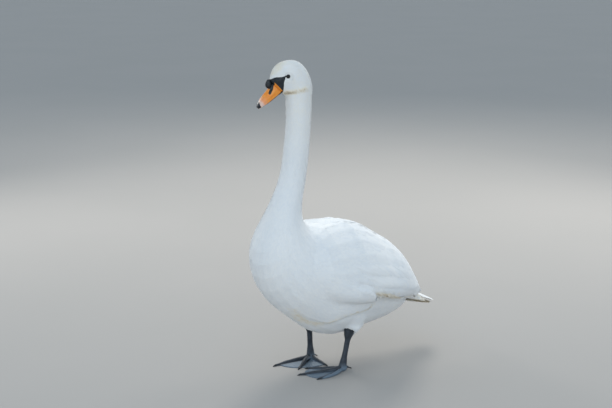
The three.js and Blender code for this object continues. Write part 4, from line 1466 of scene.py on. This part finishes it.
rows = []
for _ in range(COVERT_TRIES):
    x, y = rng.uniform(*COVERT_X), rng.uniform(*COVERT_Y)
    root, normal = skin_hit((x, y, ABOVE), DOWN)
    if root is not None and on_bird(root)[2] < COVERT_HIGHEST:
        rows.append((root, normal, (COVERT_FANNED * x / COVERT_REACH, 1, -0.5)))
roots, normals, ways = columns(rows)
lengths = rng.uniform(30, 44, len(rows))
coats.append(lay_long("feathers_tail_coverts", roots, ways, normals, lengths, 20, 1.2, 3.0, free=0.3, rings=9,
                      stain_and_painted_light_share=0.1))
print("coat triangles", sum(len(coat.data.loops) - 2 * len(coat.data.polygons) for coat in coats))

# %% [markdown]
# Feathers scatter light like fine snow: matt, with no clear gloss. On the long ones fine barbs slant back
# from each side of the shaft, so their normals carry a fine slanting ripple from the vane's own map.

# %% Plumage finishes
BARBS, BARB_SLANT = 520.0, -150.0  # ripples to a vane's length, and how they lean back from the shaft
LONG_KINDS = ("secondary", "tertial", "greater", "median", "scapular", "tail")


def plumage_finish(name, barbs):
    """A material for feathers, with or without the ripple of barbs."""
    material, tree, shader = new_material(name, Roughness=0.75, Specular_IOR_Level=0.3)
    carried = {"Stain": attribute(tree, "stain"), "Tone": attribute(tree, "tone")}
    tree.links.new(use_group(tree, plumage_group, carried)["Colour"], shader.inputs["Base Color"])
    if barbs:
        own_map = add_node(tree, "UVMap", uv_map="vane").outputs[0]
        across, along, _ = add_node(tree, "SeparateXYZ", {0: own_map}).outputs
        from_shaft = maths(tree, "ABSOLUTE", maths(tree, "SUBTRACT", across, 0.5))
        phase = maths(tree, "MULTIPLY_ADD", along, BARBS, maths(tree, "MULTIPLY", from_shaft, BARB_SLANT))
        tree.links.new(bump(tree, maths(tree, "SINE", phase), 0.25, 0.0002), shader.inputs["Normal"])
    return material


plumage, flight = plumage_finish("plumage", False), plumage_finish("flight_feathers", True)
for coat in coats:
    coat.data.materials.append(flight if any(kind in coat.name for kind in LONG_KINDS) else plumage)
    hand_in(coat, "plumage")

# %% [markdown]
# The skin shows only between feathers, where it is as white as their down, and as the bare black lores and
# the rims of the eyes, which are finely wrinkled and a little glossy.

# %% Skin finish
SLATE_DARK, SLATE_LIGHT = (0.010, 0.013, 0.017, 1), (0.030, 0.036, 0.045, 1)
RING_OUTER, RING_INNER = 6.3, 5.7  # millimetres from the eye's axis, where the black rim fades
PATCH_POINT = 2.2, 3.0  # how far along the patch begins, ahead of the eye

material, tree, shader = new_material("skin", Specular_IOR_Level=0.4)
head = use_group(tree, head_group)
wobble = maths(tree, "MULTIPLY_ADD", noise(tree, 500, 3), 1.6, -0.8)
black = soft_edge(tree, maths(tree, "ADD", head["Bare"], wobble), -0.5, 0.1)
black = maths(tree, "MULTIPLY", black, soft_edge(tree, head["Along"], *PATCH_POINT))
squares = [maths(tree, "MULTIPLY", head[axis], head[axis]) for axis in ("Along", "Up")]
from_eye = maths(tree, "SQRT", maths(tree, "ADD", *squares))
from_eye = maths(tree, "ADD", from_eye, maths(tree, "MULTIPLY", wobble, 0.3))
black = maths(tree, "MAXIMUM", black, soft_edge(tree, from_eye, RING_OUTER, RING_INNER))
down = use_group(tree, plumage_group, {"Stain": attribute(tree, "stain"), "Tone": 0.6})["Colour"]
cloud = noise(tree, 170, 4, 0.6)
slate = mix_colour(tree, soft_edge(tree, cloud, 0.35, 0.75), SLATE_DARK, SLATE_LIGHT)
colour = mix_colour(tree, black, down, slate)
bill_paint = use_group(tree, bill_group)
on_bill = maths(tree, "MULTIPLY", bill_paint["Orange Side"], black)
tree.links.new(mix_colour(tree, on_bill, colour, bill_paint["Colour"]), shader.inputs["Base Color"])
smoother = maths(tree, "MULTIPLY_ADD", cloud, 0.2, -0.42)
tree.links.new(maths(tree, "MULTIPLY_ADD", black, smoother, 0.75), shader.inputs["Roughness"])
wrinkles = maths(tree, "MULTIPLY", noise(tree, 850, 3, 0.6), black)
tree.links.new(bump(tree, wrinkles, 0.5, 0.0006), shader.inputs["Normal"])
skin.data.materials.append(material)
hand_in(skin, "plumage", *FLESH)

# %% [markdown]
# ## Bill, knob and nail
# The solids of the bill have the right size and outline but broad facets. A copy is wrapped by a fine voxel
# remesh and smoothed, and then its corners are pushed in or out where the real bill has a hollow or a ridge.
# The upper bill is made in one length, and the nail is a hard shield laid over its tip.

# %% The upper bill
BILL_GRAIN = 0.0007  # metres
NOSTRIL = (60.0, -0.4)  # along and up
STREAK = [(47, 8.0), (70.5, -5.0)]  # the line on which the nostril lies
BILL_EDGE = ([50, 82, 106, 118], [-22.8, -22.4, -18.4, -17.6])  # along, and up


def polished(name, grain, rounds, *nodes, swell=0.0002):
    """A finely wrapped and smoothed copy of some solids. The grain is in metres."""
    piece = copy_solids(name, *nodes)
    finish_with(piece, "DISPLACE", strength=swell, mid_level=0)
    finish_with(piece, "REMESH", mode="VOXEL", voxel_size=grain)
    finish_with(piece, "SMOOTH", factor=0.5, iterations=rounds)
    return piece


bill = polished("bill_upper_skin", BILL_GRAIN, 7, "bill_upper", "bill_nail")
places = vertex_places(bill)
along, left, up = in_head(places).T
streak_way = unit(np.subtract(STREAK[1], STREAK[0]))
offset = np.column_stack([along - NOSTRIL[0], up - NOSTRIL[1]])
on_streak = offset @ streak_way
off_streak = offset @ [-streak_way[1], streak_way[0]]
side_wall = smooth_step(np.abs(left), 3, 6)
hollow = 1.9 * bump_at(on_streak, 0, 4.6) * bump_at(off_streak, 0, 1.5)
hollow += 0.7 * bump_at(on_streak, 1, 12) * bump_at(off_streak, 0, 3.6)
lip = 0.45 * bump_at(on_streak, 0, 5.5) * bump_at(off_streak, 2.6, 1.0)
ridge = 0.5 * bump_at(left, 0, 2.4) * smooth_step(along, 62, 70) * (up > -6)
ridge *= 1 - smooth_step(along, 88, 96)
trough = 0.5 * bump_at(np.abs(left), 6.5, 2.6) * bump_at(along, 80, 12) * (up > -14)
above_edge = up - np.interp(along, *BILL_EDGE)
rim = 0.35 * bump_at(above_edge, 1.0, 0.9) - 0.3 * bump_at(above_edge, 3.0, 1.0)
rim *= smooth_step(along, 44, 52) * (1 - smooth_step(along, 106, 112)) * side_wall
push = (lip - hollow) * side_wall + ridge - trough + rim
move_vertices(bill, places + vertex_normals(bill) * push[:, None] * MM)
smooth_shade(bill)
print("bill reaches", along.max().round(1), "mm ahead of the eyes")

# %% [markdown]
# The nail's outline is an ellipse seen from above. The bill is wrapped once more, finer, and all outside the
# ellipse is deleted. A Solidify modifier gives the rest a wall, so the shield stands a little proud of the
# bill with a crisp edge. The lower bill and the fleshy knob are wrapped like the upper bill.

# %% Nail, lower bill and knob
NAIL_MIDDLE, NAIL_LONG, NAIL_WIDE = 124.5, 17.5, 17.0
NAIL_WALL = 0.0012  # metres
NAIL_EDGE = ([106, 118], [-17.8, -17.1])  # along, and up
LOWER_EDGE = ([45, 66, 89, 106, 118], [-23.5, -23.1, -21.6, -18.3, -17.5])
KNOB_MIDDLE = head_place(54.8, 12.0, 0)
KNOB_LEAN = unit(-0.66 * head_along + 0.75 * head_up)
KNOB_STRETCH = 0.75


def off_nail(places):
    """Whether places of the bill lie outside the nail's outline."""
    along, left, up = in_head(places).T
    ellipse = ((along - NAIL_MIDDLE) / NAIL_LONG) ** 2 + (left / NAIL_WIDE) ** 2
    return (ellipse >= 1) | (up <= np.interp(along, *NAIL_EDGE))


nail = polished("bill_nail_shield", 0.00055, 8, "bill_upper", "bill_nail")
select_where(nail, off_nail)
bpy.ops.mesh.delete(type="VERT")
bpy.ops.object.mode_set(mode="OBJECT")
finish_with(nail, "SMOOTH", factor=0.5, iterations=3)
finish_with(nail, "SOLIDIFY", thickness=NAIL_WALL, offset=0.1)
smooth_shade(nail, 50)

lower = polished("bill_lower_skin", BILL_GRAIN, 5, "bill_lower")
places = vertex_places(lower)
along, _, up = in_head(places).T
under = np.clip(np.interp(along, *LOWER_EDGE) - up, 0, None)
move_vertices(lower, places + head_up * (0.45 * under * smooth_step(along, 44, 56) * MM)[:, None])
smooth_shade(lower)

knob = polished("bill_knob_skin", 0.0006, 6, "bill_knob")
places = vertex_places(knob)
reach = np.clip((places - KNOB_MIDDLE) @ KNOB_LEAN, 0, None)
places += KNOB_LEAN * (KNOB_STRETCH * reach)[:, None]
along, left, _ = in_head(places).T
cleft = 0.5 * bump_at(left, 0, 1.3) * smooth_step(along, 56, 62)
move_vertices(knob, places - vertex_normals(knob) * cleft[:, None] * MM)
smooth_shade(knob)
print("knob", len(knob.data.vertices), "vertices")

# %% [markdown]
# ## Eyes and lids
# An eyeball is a fine sphere whose front swells into the clear cornea. Its lids are a soft black ring, made
# from a torus that is bent to hug the ball and drawn out a little towards the bill.

# %% Eyeballs
CORNEA_RISE, CORNEA_WIDE = 0.55, 3.6  # millimetres
LID_RING, LID_THICK = 4.35, 0.62
LID_STRETCH = (1.13, 0.93)  # along the opening and across it
LID_CORNER = 0.5


def eye_frame(side):
    """The eye's own directions: across the opening towards the bill, across it upwards, and outwards."""
    out = eye_axes[side]
    forward = unit(head_along - (head_along @ out) * out)
    return np.array([forward, np.cross(out, forward) * side, out])


eyes, lids = [], []
for side, label in ((1, "left"), (-1, "right")):
    axes = eye_frame(side)
    bpy.ops.object.select_all(action="DESELECT")
    bpy.ops.mesh.primitive_uv_sphere_add(segments=48, ring_count=28, radius=EYE_RADIUS * MM)
    ball = bpy.context.object
    ball.name = ball.data.name = f"eyeball_{label}"
    local = vertex_places(ball) / MM
    away = np.linalg.norm(local[:, :2], axis=1)
    cornea = CORNEA_RISE * np.clip(1 - (away / CORNEA_WIDE) ** 2, 0, 1)
    local[:, 2] += np.where(local[:, 2] > 0, cornea, 0)
    give_attribute(ball, "from_middle", away + 20 * (local[:, 2] < 0))
    move_vertices(ball, eye_middles[side] + local @ axes * MM)
    eyes.append(ball)

    bpy.ops.object.select_all(action="DESELECT")
    bpy.ops.mesh.primitive_torus_add(major_radius=LID_RING * MM, minor_radius=LID_THICK * MM,
                                     major_segments=64, minor_segments=14)
    ring = bpy.context.object
    ring.name = ring.data.name = f"eyelids_{label}"
    local = vertex_places(ring) / MM
    corner = LID_CORNER * np.clip(np.abs(local[:, 0]) / LID_RING, 0, 1.2) ** 6 * np.sign(local[:, 0])
    local[:, :2] *= LID_STRETCH
    local[:, 0] += corner
    radius = np.linalg.norm(local[:, :2], axis=1)
    local[:, 2] = local[:, 2] * 0.9 + np.sqrt(np.clip((EYE_RADIUS + 0.15) ** 2 - radius**2, 1, None))
    move_vertices(ring, eye_middles[side] + local @ axes * MM)
    lids.append(ring)
for piece in eyes + lids:
    select_only(piece)
    edit_all(bpy.ops.mesh.normals_make_consistent, inside=False)
    smooth_shade(piece)
print("eyes", [len(piece.data.vertices) for piece in eyes])

# %% [markdown]
# ## Legs and feet
# The web of a foot is skin between its three front toes. The solids' webs end short, so theirs are drawn
# forward until their edges bow a little past straight lines between the toes' ends. For that each edge is
# measured along many headings from the place where the toes spread.

# %% The webs of a foot
TOES = ("outer", "middle", "inner", "hind")
FOOT_ROOTS = {"left": (64, 21), "right": (-74, 4)}  # where the toes spread, as (x, y)
TOE_END = 0.885  # where a toe's flesh ends, as a share of the way to its claw's middle
WEB_BULGE = 0.09  # how far the web's edge bows out past a straight line between two toes' ends
WEB_TOP, WEB_MOST = 14, 1.7  # the web lies below this height, and grows by no more than this
WEB_RAYS = 40  # headings between two toes for which the web's edge is measured


def toe_lines(label):
    """Where a foot's toes spread, and the flat places of its four claws."""
    ends = [on_bird(middle(f"claw_{label}_{toe}"))[:2] for toe in TOES]
    return np.array(FOOT_ROOTS[label]), ends


def half_turn(angle):
    """An angle, taken as between minus and plus half a turn."""
    return (angle + math.pi) % (2 * math.pi) - math.pi


def to_line(heading, place, way):
    """How far it is along a heading to the straight line through a place."""
    across = abs(math.sin(heading) * way[1] - math.cos(heading) * way[0])
    return abs(place[0] * way[1] - place[1] * way[0]) / max(across, 1e-6)


def fuller_web(point, start, ends):
    """Scales for level places, so that the webs reach forward between the three front toes."""
    level = point[:, :2] - start
    radius = np.linalg.norm(level, axis=1)
    headings = [math.atan2(*(end - start)) for end in ends[:3]]
    ray_shares = (np.arange(WEB_RAYS) + 0.5) / WEB_RAYS
    scale = np.ones(len(point))
    for a, b in ((0, 1), (1, 2)):
        turn = half_turn(headings[b] - headings[a])
        share = half_turn(np.arctan2(level[:, 0], level[:, 1]) - headings[a]) / turn
        inside = (share > 0) & (share < 1) & (point[:, 2] < WEB_TOP)
        rays = np.clip((share * WEB_RAYS).astype(int), 0, WEB_RAYS - 1)
        edge = np.array([radius[inside & (rays == n)].max(initial=1) for n in range(WEB_RAYS)])
        first, second = (ends[k] - start for k in (a, b))
        line = first * TOE_END, (second - first) * TOE_END
        chord = np.array([to_line(heading, *line) for heading in ray_shares * turn + headings[a]])
        bow = 0.99 + WEB_BULGE * np.sin(ray_shares * math.pi)
        growth = np.clip(chord * bow / edge, 1, WEB_MOST)
        here = np.interp(share, ray_shares, growth)
        reach = radius / np.interp(share, ray_shares, edge)
        scale = np.where(inside, 1 + (here - 1) * smooth_step(reach, 0.35, 1.0), scale)
        print("web grows by up to", growth.max().round(2))
    return scale


start, ends = toe_lines("left")
print("the left foot's toes are", [round(float(np.linalg.norm(end - start))) for end in ends], "mm long")

# %% [markdown]
# A leg's tarsus and foot are one skin on the bird, so their solids are wrapped together. The leg is drawn out
# above the ankle, towards the knee, and it spreads where the toes leave it.

# %% The shape of a leg
LEG_GRAIN, LEG_SWELL = 0.0010, 0.0003  # metres
HOCK_Z = 121  # above it the leg is drawn out towards the knee
SHIN_STRETCH = (0, -0.3, 0.85)
ANKLE_Z, ANKLE_SWELL = 120, 2.0
ROOT_Z = 12
FLARE = 2.6  # how much the leg spreads where the toes leave it


def from_root(places, label):
    """How far places are from where a foot's toes spread; height counts for less."""
    root = np.array([*FOOT_ROOTS[label], ROOT_Z])
    return np.linalg.norm((on_bird(places) - root) * (1, 1, 0.6), axis=1)


def shape_leg(label, start, ends):
    """A leg with its foot, still without scales, and the places of its vertices."""
    leg = polished(f"leg_{label}", LEG_GRAIN, 3, f"tarsus_{label}", f"foot_{label}", swell=LEG_SWELL)
    places = vertex_places(leg)
    height = places[:, 2] / MM
    flare = FLARE * (1 - smooth_step(from_root(places, label), 8, 30)) * smooth_step(height, 3, 8)
    swell = ANKLE_SWELL * (1 - smooth_step(np.abs(height - ANKLE_Z), 3, 24))
    move_vertices(leg, places + vertex_normals(leg) * ((flare + swell) * MM)[:, None])
    places = vertex_places(leg)
    above = np.clip(places[:, 2] / MM - HOCK_Z, 0, None)
    move_vertices(leg, places + above[:, None] * np.array(SHIN_STRETCH) * MM)
    smooth_where(leg, lambda places: from_root(places, label) < 27, 28)
    places = vertex_places(leg)
    point = on_bird(places)
    scale = fuller_web(point, start, ends)
    places[:, :2] += (point[:, :2] - start) * (scale - 1)[:, None] * MM
    move_vertices(leg, places)
    return leg, places


shaped = {label: shape_leg(label, *toe_lines(label)) for label in FOOT_ROOTS}
print("faces of the legs", [len(leg.data.polygons) for leg, _ in shaped.values()])

# %% [markdown]
# The scales are real relief. Seed points are scattered over the leg, and each vertex sinks as it nears the
# border between its two nearest seeds, which draws small rounded plates. Along the toes they are cross bands.

# %% Plates and toe bands
SCALE_SPACING = 2.9
PLATE_BORDER = 1.1  # how wide the groove between two plates is
TOE_BAND = 2.6


def plate_borders(point):
    """1 on the borders of rounded plates round scattered seeds, and 0 inside the plates."""
    grid, seeds = {}, []
    for place in point[rng.permutation(len(point))].tolist():
        cell = tuple(int(value // SCALE_SPACING) for value in place)
        if far_from_others(grid, cell, place, SCALE_SPACING**2):
            grid.setdefault(cell, []).append(place)
            seeds.append(place)
    seed_tree = KDTree(len(seeds))
    for n, seed in enumerate(seeds):
        seed_tree.insert(seed, n)
    seed_tree.balance()
    print(len(seeds), "scales")
    border = []
    for place in point:
        (_, _, nearest), (_, _, second) = seed_tree.find_n(place, 2)
        border.append(second - nearest)
    return 1 - smooth_step(np.array(border), 0, PLATE_BORDER)


def toe_bands(level, ways):
    """1 on the borders of the toes' cross bands, and how much each place is a toe's top."""
    bands, toe_top = np.zeros((2, len(level)))
    for way in ways:
        run = level @ way
        off = np.abs(level @ [-way[1], way[0]])
        near = (1 - smooth_step(off, 4.5, 7.5)) * smooth_step(run, 8, 14)
        wave = np.abs(((run / TOE_BAND + 0.35 * np.sin(run / 5.3)) % 1) - 0.5) * 2
        bands = np.where(near > toe_top, smooth_step(wave, 0.62, 1.0), bands)
        toe_top = np.maximum(toe_top, near)
    return bands, toe_top


print("plates are", SCALE_SPACING, "mm apart, and toe bands", TOE_BAND)

# %% [markdown]
# Plates lie on the shin and the webs, bands on the toes' tops, and on the webs fine folds spread from the
# root. Each has its own depth. Two attributes tell the finish where the toes and the grooves are.

# %% Scaled legs
SHIN_DEEP, TOE_DEEP, WEB_DEEP, FOLD_DEEP = 0.42, 0.26, 0.22, 0.3  # millimetres
FOLDS = 46  # to a full turn round the place where the toes spread


def add_scales(leg, places, start, ends):
    """Sinks the borders of a leg's plates, and stores where its toes and the borders are."""
    normals = vertex_normals(leg)
    point = on_bird(places)
    level, height = point[:, :2] - start, point[:, 2]
    groove = plate_borders(point)
    bands, toe_top = toe_bands(level, [unit(end - start) for end in ends])
    shin, on_foot = smooth_step(height, 14, 24), 1 - smooth_step(height, 16, 26)
    facing_up = smooth_step(normals[:, 2], 0.0, 0.4)
    on_toe, on_web = toe_top * on_foot, (1 - toe_top) * on_foot * facing_up
    angle = np.arctan2(level[:, 0], -level[:, 1])
    folds = np.sin(angle * FOLDS + 0.03 * level[:, 1]) * smooth_step(np.linalg.norm(level, axis=1), 20, 60)
    sink = SHIN_DEEP * groove * shin + TOE_DEEP * bands * on_toe * facing_up
    sink += (WEB_DEEP * groove - FOLD_DEEP * folds) * on_web
    sink *= smooth_step(height, 0.4, 1.6)
    give_attribute(leg, "toe", on_toe)
    give_attribute(leg, "groove", np.clip(groove * shin + bands * on_toe + 0.5 * groove * on_foot, 0, 1))
    move_vertices(leg, places - normals * sink[:, None] * MM)
    smooth_shade(leg)


legs = []
for label, (leg, places) in shaped.items():
    add_scales(leg, places, *toe_lines(label))
    legs.append(leg)
print("scaled", " and ".join(leg.name for leg in legs))

# %% [markdown]
# The claws are short cones. Each is wrapped by a finer voxel remesh and smoothed, as the bill was.

# %% Claws
CLAWS = [f"claw_{side}_{toe}" for side in ("left", "right") for toe in TOES]
claws = [polished(node.replace("claw", "nail_toe"), 0.0005, 2, node, swell=0.0001) for node in CLAWS]
for claw in claws:
    smooth_shade(claw)
print(len(claws), "claws")

# %% [markdown]
# ## Finishes
# Bill skin is smooth, faintly leathery and a little translucent, so it has some light under its surface.

# %% Bill finish
FLESH_REACH = (1.0, 0.4, 0.2)  # how far red, green and blue light go, as shares of the scale

bill_finish, tree, shader = new_material("bill_skin", Roughness=0.42, Subsurface_Weight=0.12,
                                         Subsurface_Scale=0.002, Subsurface_Radius=FLESH_REACH)
tree.links.new(use_group(tree, bill_group)["Colour"], shader.inputs["Base Color"])
grain = maths(tree, "MULTIPLY_ADD", noise(tree, 1400, 3), 0.5, noise(tree, 260, 2))
tree.links.new(bump(tree, grain, 0.25, 0.0006), shader.inputs["Normal"])
print("bill finish of", len(tree.nodes), "nodes")

# %% [markdown]
# Horn is harder and shinier, with fine growth lines. Bare black skin, on knob and lids, is duller and finely
# wrinkled. Both carry a faint cloud of grey, as dust and wear leave on a living bird.

# %% Black horn and black skin
HORN_GREY, KNOB_GREY = (0.035, 0.037, 0.04, 1), (0.032, 0.036, 0.042, 1)


def black_finish(name, light, rough, grain_scale, depth):
    """A nearly black material with grey clouds and a fine grain. The grain's depth is in metres."""
    material, tree, shader = new_material(name, Specular_IOR_Level=0.45)
    cloud = noise(tree, 160, 4, 0.6)
    colour = mix_colour(tree, soft_edge(tree, cloud, 0.35, 0.75), BLACK, light)
    tree.links.new(colour, shader.inputs["Base Color"])
    tree.links.new(maths(tree, "MULTIPLY_ADD", cloud, 0.16, rough), shader.inputs["Roughness"])
    tree.links.new(bump(tree, noise(tree, grain_scale, 3), 0.35, depth), shader.inputs["Normal"])
    return material


horn_finish = black_finish("horn", HORN_GREY, 0.26, 900, 0.0003)
knob_finish = black_finish("black_skin", KNOB_GREY, 0.4, 700, 0.0006)
print("black finishes of", len(horn_finish.node_tree.nodes), "nodes")

# %% [markdown]
# The eye is wet and nearly black. From its middle outwards it is pupil, then a dark brown iris with a few
# spokes. A clear coat gives the wet shine, and its numbers are set on the shader itself.

# %% Eye finish
PUPIL, IRIS_DARK, IRIS_LIGHT = (0.002, 0.002, 0.002, 1), (0.008, 0.005, 0.003, 1), (0.022, 0.011, 0.006, 1)
PUPIL_EDGE = 1.9, 2.3  # millimetres from the middle

eye_finish, tree, shader = new_material("eye", Roughness=0.3, Specular_IOR_Level=0.2, Coat_Weight=0.6,
                                        Coat_Roughness=0.02)
iris = soft_edge(tree, attribute(tree, "from_middle"), *PUPIL_EDGE)
spokes = soft_edge(tree, noise(tree, 1500, 2), 0.35, 0.65)
brown = mix_colour(tree, spokes, IRIS_DARK, IRIS_LIGHT)
tree.links.new(mix_colour(tree, iris, PUPIL, brown), shader.inputs["Base Color"])
print("eye finish of", len(tree.nodes), "nodes")

# %% [markdown]
# Leg skin is slate black, greyer and bluer on the webs, and darkest in the grooves between its plates.

# %% Leg finish
LEG_DARK, LEG_LIGHT = (0.026, 0.033, 0.044, 1), (0.055, 0.068, 0.088, 1)
WEB_GREY, GROOVE_BLACK = (0.15, 0.205, 0.265, 1), (0.010, 0.012, 0.015, 1)
WEB_HEIGHT = 0.008, 0.030  # metres: all web below the first, all leg above the second

leg_finish, tree, shader = new_material("leg_skin", Specular_IOR_Level=0.4)
height = add_node(tree, "SeparateXYZ", {0: own_metres(tree)}).outputs[2]
low = maths(tree, "SUBTRACT", 1.0, soft_edge(tree, height, *WEB_HEIGHT))
web = maths(tree, "MULTIPLY", low, maths(tree, "SUBTRACT", 1.0, attribute(tree, "toe")))
cloud = noise(tree, 55, 4, 0.6)
colour = mix_colour(tree, soft_edge(tree, cloud, 0.3, 0.7), LEG_DARK, LEG_LIGHT)
colour = mix_colour(tree, web, colour, WEB_GREY)
colour = mix_colour(tree, maths(tree, "MULTIPLY", attribute(tree, "groove"), 0.6), colour, GROOVE_BLACK)
tree.links.new(colour, shader.inputs["Base Color"])
tree.links.new(maths(tree, "MULTIPLY_ADD", cloud, 0.25, 0.36), shader.inputs["Roughness"])
fine = add_node(tree, "TexVoronoi", {"Vector": own_metres(tree), "Scale": 900.0}).outputs["Distance"]
tree.links.new(bump(tree, fine, 0.3, 0.0004), shader.inputs["Normal"])
print("leg finish of", len(tree.nodes), "nodes")

# %% [markdown]
# Each finished piece takes its material, is put under the root, and hides the solids it stands for. The lids
# stand for none, as the bird's solids have no lids.

# %% Bill, eyes and legs take their finishes
SIDES = ("left", "right")

hand_in_list = [(bill, bill_finish, "bill", ("bill_upper",)), (nail, horn_finish, "horn", ("bill_nail",))]
hand_in_list += [(lower, horn_finish, "horn", ("bill_lower",)), (knob, knob_finish, "horn", ("bill_knob",))]
hand_in_list += [(eye, eye_finish, "eye", (f"eye_{side}",)) for eye, side in zip(eyes, SIDES)]
hand_in_list += [(lid, knob_finish, "horn", ()) for lid in lids]
for leg, side in zip(legs, SIDES):
    hand_in_list.append((leg, leg_finish, "leg", (f"tarsus_{side}", f"foot_{side}")))
hand_in_list += [(claw, horn_finish, "horn", (node,)) for claw, node in zip(claws, CLAWS)]
for piece, finish, slot, nodes in hand_in_list:
    piece.data.materials.append(finish)
    hand_in(piece, slot, *nodes)
print(len(coats) + 1 + len(hand_in_list), "pieces in all")
